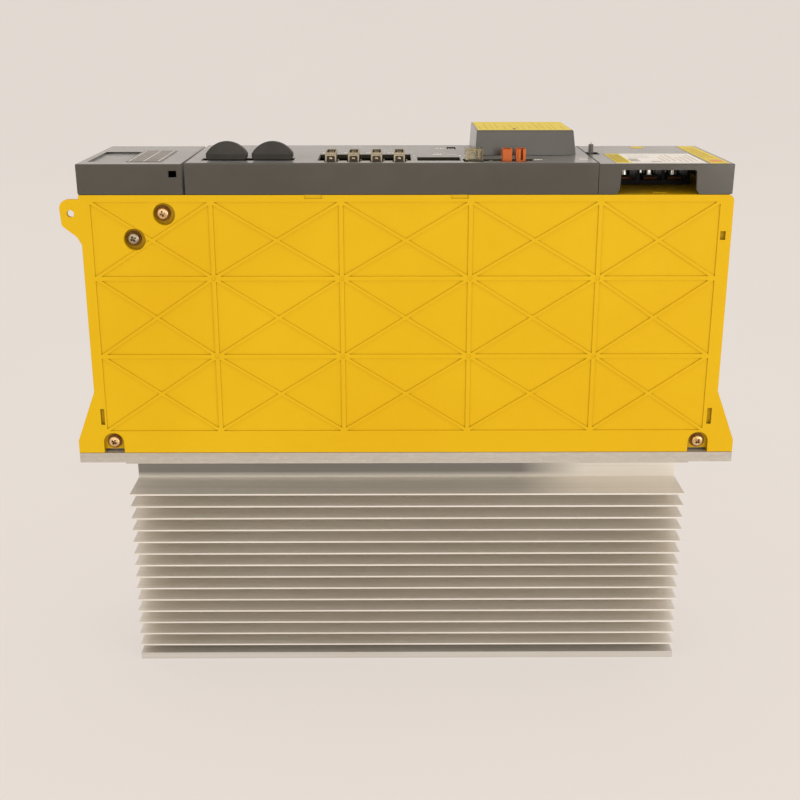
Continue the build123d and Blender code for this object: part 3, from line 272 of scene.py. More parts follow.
def film(name, colour, sheen=(0.28, 0.42), specular=0.5):
    """A printed film label with a slightly uneven sheen."""
    g = Graph(name, **{"Specular IOR Level": specular})
    base = g.ramp(g.noise(110, 4), (0.3, srgb(*colour)), (0.7, srgb(*[min(255, c + 7) for c in colour])))
    rough = g.ramp(g.noise(90, 3), (0.3, sheen[0]), (0.7, sheen[1]))
    bump = g.bump(g.noise(320, 2), 0.05, 0.0002)
    return g.finish(**{"Base Color": base, "Roughness": rough, "Normal": bump})


def circuit_board():
    """Green solder resist over copper tracks: rectangular cells give the track pattern."""
    g = Graph("board_green", **{"Coat Weight": 0.3, "Coat Roughness": 0.2})
    tracks = g.add("ShaderNodeTexBrick", {"offset": 0.37, "squash": 2.0, "squash_frequency": 3}, {
        "Vector": g.place(), "Scale": 160.0, "Mortar Size": 0.012, "Row Height": 0.11, "Brick Width": 0.9,
        "Color1": (0.0, 0.0, 0.0), "Color2": (0.25, 0.25, 0.25), "Mortar": (1.0, 1.0, 1.0)})
    share = g.ramp(tracks.outputs["Color"], (0.1, 0.0), (0.6, 0.8))
    colour = g.mix(share, srgb(18, 78, 46), srgb(44, 118, 70))
    pads = g.ramp(g.cells(420), (0.07, 1.0), (0.09, 0.0))
    colour = g.mix(pads, colour, srgb(196, 190, 170))
    metal = g.ramp(pads, (0.4, 0.0), (0.6, 0.9))
    bump = g.bump(tracks.outputs["Color"], 0.3, 0.0001)
    rough = g.ramp(g.noise(100), (0.3, 0.28), (0.7, 0.4))
    return g.finish(**{"Base Color": colour, "Metallic": metal, "Roughness": rough, "Normal": bump})


MATERIALS = {
    "case_yellow": case_yellow(),
    "cover_grey": cover_grey(),
    "raw_aluminium": extruded_aluminium(),
    "screw_gold": plated("screw_gold", [(170, 128, 76), (222, 182, 124), (240, 206, 160), (204, 160, 100)]),
    "washer_bronze": plated("washer_bronze", [(128, 88, 50), (152, 108, 66), (108, 72, 40)], (0.4, 0.55)),
    "screw_dull": plated("screw_dull", [(128, 112, 92), (186, 172, 148), (150, 136, 114)], (0.3, 0.5)),
    "screw_zinc": plated("screw_zinc", [(150, 146, 136), (196, 192, 182), (170, 168, 160)]),
    "bracket_steel": plated("bracket_steel", [(118, 112, 100), (146, 140, 126)], (0.35, 0.55), 90.0),
    "module_black": moulded("module_black", (24, 24, 26), (38, 38, 40)),
    "board_green": circuit_board(),
    "capacitor_sleeve": moulded("capacitor_sleeve", (26, 30, 44), (34, 40, 58), (0.18, 0.3)),
    "relay_case": moulded("relay_case", (214, 210, 200), (228, 225, 216)),
    "sensor_body": moulded("sensor_body", (34, 34, 37), (48, 48, 52)),
    "ferrite": moulded("ferrite", (48, 46, 46), (66, 63, 62), (0.5, 0.7)),
    # bar_copper: dull copper, kept dark partly as painted shade for the inside of the covers.
    "bar_copper": plated("bar_copper", [(84, 54, 38), (104, 68, 48), (70, 44, 30)], (0.5, 0.65), 60.0),
    # terminal_black: black moulding, made deeper black partly as painted shade for the inside of the
    # covers.
    "terminal_black": moulded("terminal_black", (16, 14, 12), (26, 23, 20), specular=0.2),
    "terminal_screw": plated("terminal_screw", [(196, 192, 184), (228, 226, 220)], (0.14, 0.28)),
    "fan_black": moulded("fan_black", (22, 22, 24), (36, 36, 38)),
    "fan_windings": plated("fan_windings", [(150, 74, 40), (188, 100, 58)], (0.25, 0.4), 900.0),
    "shell_metal": plated("shell_metal", [(158, 146, 124), (182, 170, 146), (138, 126, 104)], (0.26, 0.4)),
    "insert_dark": moulded("insert_dark", (58, 42, 28), (78, 60, 42)),
    "header_clear": clear_plastic("header_clear", (246, 240, 218), 0.02, 1.0),
    "header_orange": moulded("header_orange", (194, 92, 36), (206, 106, 46), (0.4, 0.55), 1500.0, 0.3),
    "edge_olive": moulded("edge_olive", (150, 134, 84), (172, 156, 104), (0.2, 0.3)),
    "led_green": clear_plastic("led_green", (60, 150, 110), 0.2),
    "display_dark": moulded("display_dark", (12, 10, 10), (20, 17, 16), (0.5, 0.6), specular=0.12),
    "cell_sleeve": moulded("cell_sleeve", (44, 66, 104), (60, 84, 124), (0.2, 0.35)),
    "label_white": film("label_white", (240, 235, 226)),
    "label_yellow": film("label_yellow", (230, 205, 78), (0.5, 0.62), 0.2),
    "rubber_black": moulded("rubber_black", (44, 40, 35), (57, 53, 47), (0.48, 0.62), 1800.0),
    "socket_dark": moulded("socket_dark", (26, 19, 12), (38, 29, 20), specular=0.2),
    "pin_steel": plated("pin_steel", [(176, 178, 178), (206, 208, 208)], (0.15, 0.25)),
    "latch_grey": cover_grey("latch_grey", (104, 98, 88), (122, 116, 105)),
    "label_grey": film("label_grey", (84, 75, 66), (0.22, 0.30)),
    "ink_pale": moulded("ink_pale", (176, 168, 158), (190, 183, 173)),
    "ink_brown": moulded("ink_brown", (170, 128, 40), (186, 144, 54)),
    "ink_rose": moulded("ink_rose", (196, 172, 160), (210, 188, 176)),
    "ink_orange": moulded("ink_orange", (226, 150, 70), (234, 166, 88)),
    "ink_haze": moulded("ink_haze", (150, 142, 131), (166, 158, 147)),
    "ink_olive": moulded("ink_olive", (176, 146, 46), (190, 160, 58)),
    "ink_white": moulded("ink_white", (234, 229, 221), (244, 240, 233)),
    "ink_red": moulded("ink_red", (120, 62, 34), (140, 78, 44)),
    "gold_contact": plated("gold_contact", [(226, 178, 84), (242, 204, 120)], (0.14, 0.24)),
}

# ---------------------------------------------------------------- finishes of the CAD nodes
SLOT_OF = {part["node"]: part["material_slot"] for part in frame["record"]["subparts"]}
for node, slot in SLOT_OF.items():
    cad = frame["nodes"][node]
    cad.data.materials.clear()
    cad.data.materials.append(MATERIALS[slot])


def soften(node, width):
    """Rounds a CAD node's hard edges a little, so that they catch the light."""
    cad = frame["nodes"][node]
    weld = cad.modifiers.new("weld", "WELD")
    weld.merge_threshold = 0.000002
    bevel = cad.modifiers.new("soft_edges", "BEVEL")
    bevel.width = width * MM
    bevel.segments = 2
    bevel.limit_method = "ANGLE"
    bevel.angle_limit = math.radians(BEVEL_ANGLE)
    bevel.harden_normals = True


for node, width in {"case_right": 0.4, "case_left": 0.4, "front_cover": 0.25, "top_terminal_cover": 0.25,
                    "bottom_terminal_cover": 0.25, "heat_sink": 0.15, "battery_cover": 0.2,
                    "dc_terminal_block": 0.25, "motor_terminal_block": 0.25, "hinge_ears": 0.15,
                    "end_brackets": 0.25, "fan_frame": 0.3, "relays": 0.2, "current_sensors": 0.4,
                    "battery_tray": 0.25, "dc_bus_bars": 0.2, "motor_bus_bars": 0.2}.items():
    soften(node, width)


# ---------------------------------------------------------------- mesh builders, in millimetres
def rounded_block(low, high, radius=0.3, steps=2, lean=(0.0, 0.0)):
    """A block with rounded edges; lean pulls in the top face along X and Y."""
    part = bmesh.new()
    bmesh.ops.create_cube(part, size=1.0)
    for vertex in part.verts:
        top = vertex.co.z > 0
        for axis in range(3):
            vertex.co[axis] = low[axis] if vertex.co[axis] < 0 else high[axis]
        if top:
            vertex.co.x += lean[0] * (1 if vertex.co.x < (low[0] + high[0]) / 2 else -1)
            vertex.co.y += lean[1] * (1 if vertex.co.y < (low[1] + high[1]) / 2 else -1)
    round_edges(part, radius, steps)
    return part


def round_edges(part, radius, steps, sharper_than=25.0):
    """Bevels the edges where the surface turns by more than an angle."""
    turned = [e for e in part.edges
              if len(e.link_faces) == 2 and e.calc_face_angle() > math.radians(sharper_than)]
    bmesh.ops.bevel(part, geom=turned, offset=radius, segments=steps, affect="EDGES",
                    clamp_overlap=True)


def lathe(profile, steps=40):
    """A body of revolution about Z from (radius, height) points.

    The profile starts and ends on the axis, or closes on itself for a ring.
    """
    part = bmesh.new()
    rings = []
    for radius, height in profile:
        count = 1 if radius < 1e-6 else steps
        ring = []
        for k in range(count):
            turn = 2 * math.pi * k / count
            ring.append(part.verts.new((radius * math.cos(turn), radius * math.sin(turn), height)))
        rings.append(ring)
    for below, above in zip(rings, rings[1:]):
        for k in range(steps):
            corners = [below[k % len(below)], below[(k + 1) % len(below)],
                       above[(k + 1) % len(above)], above[k % len(above)]]
            unique = list(dict.fromkeys(corners))
            if len(unique) > 2:
                part.faces.new(unique)
    bmesh.ops.recalc_face_normals(part, faces=part.faces)
    return part


def slab(outline, low, high, radius, steps, sharper_than):
    """An (x, y) outline made solid from low to high along Z, with its sharp edges rounded."""
    part = bmesh.new()
    face = part.faces.new([part.verts.new((x, y, low)) for x, y in outline])
    made = bmesh.ops.extrude_face_region(part, geom=[face])["geom"]
    for vertex in made:
        if isinstance(vertex, bmesh.types.BMVert):
            vertex.co.z = high
    bmesh.ops.recalc_face_normals(part, faces=part.faces)
    round_edges(part, radius, steps, sharper_than)
    return part


def moved(part, matrix):
    bmesh.ops.transform(part, matrix=matrix, verts=part.verts)
    return part


def joined(*parts):
    """One bmesh that holds all the parts."""
    whole = bmesh.new()
    for part in parts:
        mesh = bpy.data.meshes.new("part")
        part.to_mesh(mesh)
        part.free()
        whole.from_mesh(mesh)
        bpy.data.meshes.remove(mesh)
    return whole


def cut(target, *cutters):
    """What is left of a bmesh when others are taken from it."""
    pair = []
    for part in (target, joined(*cutters)):
        mesh = bpy.data.meshes.new("part")
        part.to_mesh(mesh)
        part.free()
        pair.append(bpy.data.objects.new("part", mesh))
        bpy.context.scene.collection.objects.link(pair[-1])
    boolean = pair[0].modifiers.new("cut", "BOOLEAN")
    boolean.operation = "DIFFERENCE"
    boolean.solver = "EXACT"
    boolean.use_self = True
    boolean.object = pair[1]
    seen = pair[0].evaluated_get(bpy.context.evaluated_depsgraph_get())
    left = bmesh.new()
    left.from_mesh(seen.data)
    for old in pair:
        mesh = old.data
        bpy.data.objects.remove(old)
        bpy.data.meshes.remove(mesh)
    return left


class Piece:
    """A separate visible object, built from shaped parts in one or more finishes."""

    def __init__(self, name, body, slot, *finishes):
        self.name = name
        self.body = body
        self.slot = slot
        self.finishes = finishes or (slot,)
        self.mesh = bpy.data.meshes.new(name)
        self.whole = bmesh.new()

    def add(self, part, finish=0, turn=None):
        """Takes in a part given in millimetres, with one of the piece's finishes."""
        if turn is not None:
            moved(part, turn)
        for face in part.faces:
            face.material_index = finish
        mesh = bpy.data.meshes.new("part")
        part.to_mesh(mesh)
        part.free()
        self.whole.from_mesh(mesh)
        bpy.data.meshes.remove(mesh)

    def done(self, *nodes, smooth=38.0):
        """Makes the object, puts it on its body, and hides the CAD nodes that it stands in for."""
        moved(self.whole, Matrix.Translation((0, 0, PLANE)) @ Matrix.Scale(MM, 4))
        self.whole.to_mesh(self.mesh)
        self.whole.free()
        for finish in self.finishes:
            self.mesh.materials.append(MATERIALS[finish])
        self.mesh.shade_smooth()
        self.mesh.set_sharp_from_angle(angle=math.radians(smooth))
        thing = bpy.data.objects.new(self.name, self.mesh)
        bpy.context.scene.collection.objects.link(thing)
        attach(thing, self.body)
        if nodes:
            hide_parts(*nodes)


def facing(direction, place, spin=0.0):
    """Stands a part that was made along +Z on a place, with its head along a direction."""
    quarter = math.radians(90)
    turns = {"+Z": Matrix.Identity(4), "-Y": Matrix.Rotation(quarter, 4, "X"),
             "+Y": Matrix.Rotation(-quarter, 4, "X"), "+X": Matrix.Rotation(quarter, 4, "Y")}
    return Matrix.Translation(place) @ turns[direction] @ Matrix.Rotation(math.radians(spin), 4, "Z")


# ---------------------------------------------------------------- screws
def dome(radius, height):
    """Profile of a pan head from its rim to the axis: an upright rim that rolls over into a crown."""
    points = [(radius * 0.97, 0.0), (radius, height * 0.08), (radius, height * 0.42)]
    for k in range(1, 7):
        turn = math.pi / 2 * k / 6
        points.append((radius * (1 - 0.42 * (1 - math.cos(turn))),
                       height * (0.42 + 0.42 * math.sin(turn))))
    points += [(radius * 0.36, height * 0.95), (radius * 0.16, height), (0.0, height)]
    return points


def pan_screw(radius, head, height, length):
    """A pan-head screw with a tapered cross recess and a rolled thread on the end of its shank."""
    profile = [(0.0, -length), (radius * 0.7, -length)]
    turns = max(3, int(min(length - 1.5, 9.0) / 0.7))
    for k in range(turns):
        base = -length + 0.4 + 0.7 * k
        profile += [(radius * 0.84, base), (radius, base + 0.35)]
    profile += [(radius * 0.92, profile[-1][1] + 0.35), (radius * 0.92, 0.0)]
    body = lathe(profile + dome(head, height))
    arms = []
    for turn in (0, 90):
        arm = rounded_block((-head * 0.60, -head * 0.185, height * 0.15),
                            (head * 0.60, head * 0.185, height + 1), 0.02, 1)
        for vertex in arm.verts:
            if vertex.co.z < height * 0.6:
                vertex.co.x *= 0.6
                vertex.co.y *= 0.8
        arms.append(moved(arm, Matrix.Rotation(math.radians(turn), 4, "Z")))
    return cut(body, *arms)


def washer(inner, outer, thick):
    """A flat washer with eased edges."""
    ease = thick * 0.25
    profile = [(inner, ease), (inner, thick - ease), (inner + ease, thick),
               (outer - ease, thick), (outer, thick - ease), (outer, ease),
               (outer - ease, 0.0), (inner + ease, 0.0), (inner, ease)]
    return lathe(profile)


def screws(name, slot, nodes, size, places, finishes=None, disc=None, ring=None):
    """All the screws of one node, each turned to its own angle, with a washer under the head if asked."""
    finishes = finishes or [slot]
    piece = Piece(name, "chassis", slot, *finishes, ring or slot)
    for k, (direction, place) in enumerate(places):
        spin = random.uniform(0, 90)
        finish = min(k, len(finishes) - 1)
        lift = Matrix.Translation((0, 0, disc[2] if disc else 0.0))
        piece.add(pan_screw(*size), finish, facing(direction, place, spin) @ lift)
        if disc:
            piece.add(washer(*disc), len(finishes), facing(direction, place))
    piece.done(*nodes)


M4_SIZE = (1.95, 3.25, 2.4)
screws("case_screws", "screw_gold", ["case_screws"], (*M4_SIZE, 54.0),
       [("-Y", (-150.8, -40.0, 130.9)), ("-Y", (-133.9, -40.0, 144.8))],
       ["screw_dull", "screw_gold"], (2.1, 4.1, 0.8), "washer_bronze")
screws("foot_screws", "screw_gold", ["foot_screws"], (*M4_SIZE, 8.4),
       [(way, (x, side * 42.0, 12.4)) for x in (-169.6, 169.5) for side, way in ((-1, "-Y"), (1, "+Y"))],
       disc=(2.1, 4.1, 0.6), ring="washer_bronze")
screws("bracket_screws", "screw_zinc", ["bracket_screws"], (1.95, 3.5, 2.4, 5.8),
       [("+Z", (x, y, 7.8)) for x in (-168.0, 168.0) for y in (-20.0, 20.0)])
screws("module_screws", "screw_zinc", ["module_screws"], (1.95, 3.5, 2.4, 7.8),
       [("+Z", (centre + x, y, 9.8))
        for centre in (-62.0, 54.0) for x in (-48.0, 48.0) for y in (-25.0, 25.0)])
screws("board_screws", "screw_zinc", ["board_screws"], (1.45, 2.6, 2.0, 7.3),
       [("+Z", (x, y, BOARD_TOP)) for x in (-112.0, 97.5) for y in (-38.0, 38.0)])
screws("fan_screws", "screw_zinc", ["fan_screws"], (1.45, 2.6, 1.9, 13.8),
       [("+X", (178.8, y, z)) for y in (-25.0, 25.0) for z in (29.0, 79.0)])
screws("motor_terminal_screws", "terminal_screw", ["motor_terminal_screws"], (2.45, 3.9, 2.6, 3.9),
       [("+Z", (-150.0, y, TERMINAL_SEAT)) for y in (-27.0, -9.0, 9.0, 27.0)], disc=(2.6, 4.4, 0.7))


def dc_terminals():
    """Tall slotted clamp screws on square clamp plates."""
    piece = Piece("dc_terminal_screws", "chassis", "terminal_screw", "terminal_screw", "terminal_black")
    for x in (126.0, 141.0, 155.0):
        profile = [(0.0, -3.9), (2.6, -3.9), (2.9, -3.5), (2.9, 0.6), (3.6, 0.6),
                   (4.0, 1.0), (4.0, 8.1), (3.5, 8.8), (1.5, 9.0), (0.0, 9.0)]
        slot = rounded_block((-5, -0.6, 7.4), (5, 0.6, 10), 0.05, 1)
        grip = [moved(rounded_block((3.75, -0.25, 1.6), (5.0, 0.25, 7.6), 0.05, 1),
                      Matrix.Rotation(math.radians(30 * k + 15), 4, "Z")) for k in range(12)]
        seat = (x, 3.0, TERMINAL_SEAT)
        screw = cut(lathe(profile, 48), slot, *grip)
        piece.add(screw, 0, facing("+Z", seat, random.uniform(-30, 30)))
        hole = lathe([(0, -1), (3.1, -1), (3.1, 2), (0, 2)])
        plate = cut(rounded_block((-4.6, -4.6, 0.0), (4.6, 4.6, 0.9), 0.25), hole)
        piece.add(plate, 1, facing("+Z", seat))
    piece.done("dc_terminal_screws")


dc_terminals()


# ---------------------------------------------------------------- connectors on the control board
def contacts(columns, rows, base, tip):
    """Square gold pins with pointed tips."""
    half = PIN_WIDTH / 2
    return [rounded_block((x - half, y - half, base), (x + half, y + half, tip), 0.12, 1, (0.1, 0.1))
            for x in columns for y in rows]


def signal_connector(number, left):
    """A bent shell with a rolled rim and side straps, round a brown insert with a contact blade."""
    right = left + SIGNAL_WIDTH
    middle = left + SIGNAL_WIDTH / 2
    shell = Piece(f"signal_shell_{number}", "chassis", "shell_metal")
    frame_part = rounded_block((left, -40.2, 176.1), (right, -22.0, 177.5), 0.4, 3)
    mouth = rounded_block((left + 0.8, -39.3, 174.0), (right - 0.8, -22.9, 179.0), 0.4)
    shell.add(cut(frame_part, mouth))
    neck = rounded_block((left + 0.3, -39.9, BOARD_TOP), (right - 0.3, -22.3, 176.4), 0.3)
    inside = rounded_block((left + 0.7, -39.5, BOARD_TOP - 1), (right - 0.7, -22.7, 178.0), 0.2)
    windows = [rounded_block((left + 0.9, -41.0, BOARD_TOP + 2), (right - 0.9, -38.0, 175.7), 0.3)]
    windows += [rounded_block((left - 1, y, BOARD_TOP + 2), (right + 1, y + 4.6, 174.4), 0.3)
                for y in (-38.0, -31.5)]
    shell.add(cut(neck, inside, *windows))
    for x in (left + 0.45, right - 0.45):
        shell.add(rounded_block((x - 0.35, -40.15, 166.0), (x + 0.35, -39.5, 176.6), 0.15))
    shell.add(lathe([(0.0, -0.4), (0.75, -0.4), (0.95, 0.0), (0.85, 0.35), (0.5, 0.55), (0.0, 0.6)], 24), 0,
              facing("-Y", (middle - 0.1, -39.6, 174.3)))
    for x, height in ((right + 0.85, 173.3), (left - 0.95, 171.8)):
        shell.add(rounded_block((x - 0.45, -34.4, BOARD_TOP), (x + 0.45, -33.2, height), 0.3))
    shell.done(f"signal_shell_{number}")

    insert = Piece(f"signal_insert_{number}", "chassis", "insert_dark", "insert_dark", "gold_contact")
    insert.add(rounded_block((left + 0.75, -39.45, BOARD_TOP), (right - 0.75, -22.75, 175.4), 0.2))
    insert.add(rounded_block((middle - 0.9, -36.4, 174.5), (middle + 0.9, -25.8, 176.6), 0.2))
    for k in range(10):
        y = -35.6 + k * 1.0
        for x in (middle - 0.95, middle + 0.95):
            insert.add(rounded_block((x - 0.12, y - 0.22, 174.8), (x + 0.12, y + 0.22, 176.8), 0.06, 1), 1)
    for y in (-38.2, -24.4):
        insert.add(rounded_block((left + 1.2, y - 0.5, 174.8), (right - 1.2, y + 0.5, 176.3), 0.2), 0)
    insert.done(f"signal_insert_{number}")


for number, left in enumerate((-44.4, -32.0, -19.5, -7.1), start=1):
    signal_connector(number, left)


def header(name, slot, x, y, top, wall, slots, pins, rim=0.35, finish=None):
    """A moulded housing, open at the top, with a stepped rim, cut-outs in its front and contacts inside.

    Each slot is (x low, x high, base), and pins are (their columns, their rows, the height of the tips).
    """
    piece = Piece(name, "chassis", slot, finish or slot, "gold_contact", "edge_olive")
    outside = rounded_block((x[0], y[0], BOARD_TOP), (x[1], y[1], top), rim)
    hollow = rounded_block((x[0] + wall, y[0] + wall, BOARD_TOP + 3),
                           (x[1] - wall, y[1] - wall, top + 1), 0.15, 1)
    step = rounded_block((x[0] + wall * 0.55, y[0] + wall * 0.55, top - 1.0),
                         (x[1] - wall * 0.55, y[1] - wall * 0.55, top + 1), 0.1, 1)
    cuts = [rounded_block((low, y[0] - 1, base), (high, y[0] + wall + 0.3, top + 1), 0.08, 1)
            for low, high, base in slots]
    piece.add(cut(outside, hollow, step, *cuts))
    columns, rows, tip = pins
    for part in contacts(columns, rows, BOARD_TOP + 2.8, tip):
        piece.add(part, 1)
    return piece


option = header("option_connector", "insert_dark", (8.0, 28.2), (-33.0, -21.5), 169.0, 1.2,
                [(16.6, 19.6, 164.0)], ([10.8 + 1.83 * k for k in range(9)], (-29.4, -25.2), 167.6),
                finish="socket_dark")
for x in (8.6, 27.6):
    option.add(rounded_block((x - 0.5, -34.0, BOARD_TOP), (x + 0.5, -20.8, 170.4), 0.25))
option.done("option_connector")

clear = header("clear_header", "header_clear", (31.9, 41.4), (-40.3, -30.3), 179.3, 1.1,
               [(33.6, 34.3, 166.0), (39.0, 39.7, 166.0)],
               ([35.2, 36.65, 38.1], (-36.6, -34.0), 172.0), 0.25)
clear.add(rounded_block((33.9, -39.9, 177.9), (39.4, -39.3, 179.2), 0.15))
clear.add(rounded_block((33.2, -36.9, 170.0), (33.9, -31.5, 178.6), 0.2))
clear.add(rounded_block((39.4, -36.9, 170.0), (40.1, -31.5, 178.6), 0.2))
for x in (32.05, 41.25):
    for y in (-40.15, -30.45):
        clear.add(rounded_block((x - 0.15, y - 0.15, 172.9), (x + 0.15, y + 0.15, 179.2), 0.05, 1), 2)
for y in (-40.15, -39.2):
    clear.add(rounded_block((32.1, y - 0.12, 178.95), (41.2, y + 0.12, 179.25), 0.05, 1), 2)
for x in (33.95, 39.35):
    clear.add(rounded_block((x - 0.12, -40.2, 172.9), (x + 0.12, -39.9, 179.1), 0.05, 1), 2)
clear.done("clear_header")

first_orange = header("orange_header_1", "header_orange", (52.1, 57.3), (-40.3, -32.3), 179.3, 1.0, (),
                      ([53.8, 55.6], (-37.4, -35.2), 173.0), 0.15)
for x in (52.9, 56.5):
    first_orange.add(rounded_block((x - 0.3, -40.25, 168.0), (x + 0.3, -39.9, 178.9), 0.1))
first_orange.done("orange_header_1")
second_orange = header("orange_header_2", "header_orange", (59.4, 64.8), (-40.3, -32.3), 179.3, 1.0,
                       [(61.9, 63.2, 173.5), (60.25, 60.55, 174.2)],
                       ([61.1, 63.0], (-37.4, -35.2), 173.0), 0.15)
second_orange.add(rounded_block((61.1, -40.25, 172.0), (61.5, -39.6, 178.8), 0.12), 1)
second_orange.done("orange_header_2")

led = Piece("status_led", "chassis", "led_green")
led.add(lathe([(0.0, BOARD_TOP), (1.8, BOARD_TOP), (1.8, BOARD_TOP + 1.0), (1.5, BOARD_TOP + 1.1),
               (1.5, 171.6), (1.38, 172.1), (1.1, 172.5), (0.6, 172.75), (0.0, 172.8)], 32), 0,
        Matrix.Translation((46.4, -33.5, 0.0)))
led.done("status_led")


def display():
    """A dark window with a seven-segment digit on it."""
    piece = Piece("status_display", "chassis", "display_dark", "display_dark", "ink_white")
    piece.add(rounded_block((22.2, 19.8, BOARD_TOP), (32.4, 35.3, 170.2), 0.4))
    piece.add(rounded_block((24.8, 21.9, 169.5), (29.8, 33.2, 172.0), 0.25))
    for low, high in (((26.0, 24.4), (28.6, 24.9)), ((26.0, 27.3), (28.6, 27.8)),
                      ((26.0, 30.2), (28.6, 30.7)), ((25.6, 24.8), (26.0, 27.4)),
                      ((28.6, 24.8), (29.0, 27.4)), ((25.6, 27.7), (26.0, 30.3)),
                      ((28.6, 27.7), (29.0, 30.3))):
        piece.add(rounded_block((*low, 171.6), (*high, 172.05), 0.05, 1), 1)
    piece.done("status_display")


display()


def receptacle(x):
    """The housing of a light-guide socket, with a keyway each side of its mouth."""
    body = rounded_block((x - 8, -33.6, BOARD_TOP), (x + 8, -23.4, 171.0), 0.4)
    mouth = rounded_block((x - 5, -32.0, BOARD_TOP + 3), (x + 5, -26.0, 173), 0.2)
    keyways = [rounded_block((x + side * 6.2 - 0.5, -34, 166.5), (x + side * 6.2 + 0.5, -23, 172), 0.1, 1)
               for side in (-1, 1)]
    return cut(body, mouth, *keyways)


sockets = Piece("optical_receptacles", "chassis", "terminal_black", "terminal_black", "shell_metal")
for x in CAP_PLACES:
    sockets.add(receptacle(x))
    for offset in (-2.4, 2.4):
        sleeve = lathe([(0.0, 0.0), (1.3, 0.0), (1.3, 2.6), (1.1, 2.8), (0.6, 2.8),
                        (0.6, 1.6), (0.0, 1.6)], 24)
        sockets.add(sleeve, 1, facing("+Z", (x + offset, -29.0, BOARD_TOP + 2.9)))
sockets.done("optical_receptacles")


def dust_cap(number, x):
    """A half-moon rubber grip: upright below a soft ridge, thinner towards its crown, with a plug."""
    half, low, shoulder, crown = 11.2, 172.9, 176.4, 182.85
    rise = crown - shoulder
    radius = (half ** 2 + rise ** 2) / (2 * rise)
    outline = [(-half, low + 0.8), (-10.3, low), (10.3, low), (half, low + 0.8), (half, shoulder)]
    span = math.asin(half / radius)
    for k in range(1, 32):
        turn = span - 2 * span * k / 32
        outline.append((radius * math.sin(turn), crown - radius + radius * math.cos(turn)))
    outline.append((-half, shoulder))
    grip = slab(outline, 28.8, 36.1, 0.6, 3, 40.0)
    moved(grip, Matrix.Rotation(math.radians(90), 4, "X"))
    for height in (174.6, 175.9, 176.3, 177.2, 179.0, 181.0):
        bmesh.ops.bisect_plane(grip, geom=grip.verts[:] + grip.edges[:] + grip.faces[:],
                               plane_co=(0, 0, height), plane_no=(0, 0, 1))
    for vertex in grip.verts:
        over = max(0.0, (vertex.co.z - 176.2) / (crown - 176.2))
        under = max(0.0, (175.9 - vertex.co.z) / (175.9 - low))
        squeeze = 1.0 - 0.42 * over ** 0.9 - 0.07 * min(1.0, under * 3)
        vertex.co.y = -32.55 + (vertex.co.y + 32.55) * squeeze
        vertex.co.x += x
    piece = Piece(f"dust_cap_{number}", f"cap_{number}", "rubber_black")
    piece.add(grip)
    piece.add(rounded_block((x - 10.9, -36.3, 175.75), (x + 10.9, -35.2, 176.35), 0.26, 3))
    plug = rounded_block((x - 4.8, -31.7, BOARD_TOP + 5), (x + 4.8, -27.3, low + 0.6), 0.5, 3)
    piece.add(plug)
    for height in (167.0, 169.2):
        piece.add(rounded_block((x - 4.95, -31.85, height), (x + 4.95, -27.15, height + 0.6), 0.28, 3))
    piece.done(f"dust_cap_{number}", smooth=50.0)


for number, x in enumerate(CAP_PLACES, start=1):
    dust_cap(number, x)


def latch():
    """The sliding latch: a ribbed plate with an upright, rounded tab."""
    piece = Piece("cover_latch", "latch", "cover_grey", "latch_grey")
    piece.add(rounded_block((104.7, -0.8, 166.7), (118.0, 10.6, 169.3), 0.3))
    tab = rounded_block((105.3, 1.2, 168.8), (108.3, 4.4, 178.7), 1.2, 4, (0.15, 0.2))
    piece.add(tab)
    for k in range(3):
        piece.add(rounded_block((110.5 + 2.4 * k, 0.4, 169.2), (111.4 + 2.4 * k, 9.4, 169.6), 0.18))
    piece.done("cover_latch")


latch()


# ---------------------------------------------------------------- prints
def marks(name, body, slot, height, rows):
    """Printed bars that lie on a flat face. Each row is (x low, x high, y low, y high, finish)."""
    finishes = sorted({row[4] for row in rows})
    piece = Piece(name, body, slot, *finishes)
    for low_x, high_x, low_y, high_y, finish in rows:
        bar = rounded_block((low_x, low_y, height - 0.02),
                            (high_x, high_y, height + PRINT_THICKNESS), 0.01, 1)
        piece.add(bar, finishes.index(finish))
    piece.done(smooth=60.0)


def words(x, y, width, height, finish, gap=0.55):
    """A line of print as a run of short bars of uneven length."""
    rows = []
    here = x
    while here < x + width - 0.3:
        length = min(random.uniform(0.7, 2.0), x + width - here)
        rows.append((here, here + length, y, y + height, finish))
        here += length + gap * random.uniform(0.6, 1.2)
    return rows


def columns(x, y, width, length, finish, gap=0.9):
    """The same, for print that runs along Y."""
    rows = []
    here = y
    while here < y + length - 0.3:
        run = min(random.uniform(1.2, 4.0), y + length - here)
        rows.append((x, x + width, here, here + run, finish))
        here += run + gap * random.uniform(0.6, 1.2)
    return rows


front_marks = []
for x, y, width, height, gap in ((14.9, -7.6, 5.9, 2.0, 0.4), (15.6, -4.8, 4.6, 1.8, 0.4),
                                 (18.0, 24.8, 5.4, 3.2, 0.4), (70.4, -32.2, 4.4, 3.0, 0.3),
                                 (95.6, -30.4, 4.6, 1.8, 0.3), (96.0, -27.6, 3.9, 1.6, 0.3)):
    front_marks += words(x, y, width, height, "ink_white", gap)
front_marks += [(23.0, 28.5, -6.6, -6.3, "ink_white"), (4.1, 5.0, -11.4, -9.9, "ink_white"),
                (4.1, 5.0, -22.0, -20.5, "ink_white"), (29.9, 30.8, -13.2, -10.6, "ink_white")]
for x in (-48.0, -35.6, -23.0, -10.6):
    front_marks += words(x, 2.0, 5.0, 1.6, "ink_white", 0.4)
marks("front_print", "chassis", "cover_grey", FRONT_FACE, front_marks)

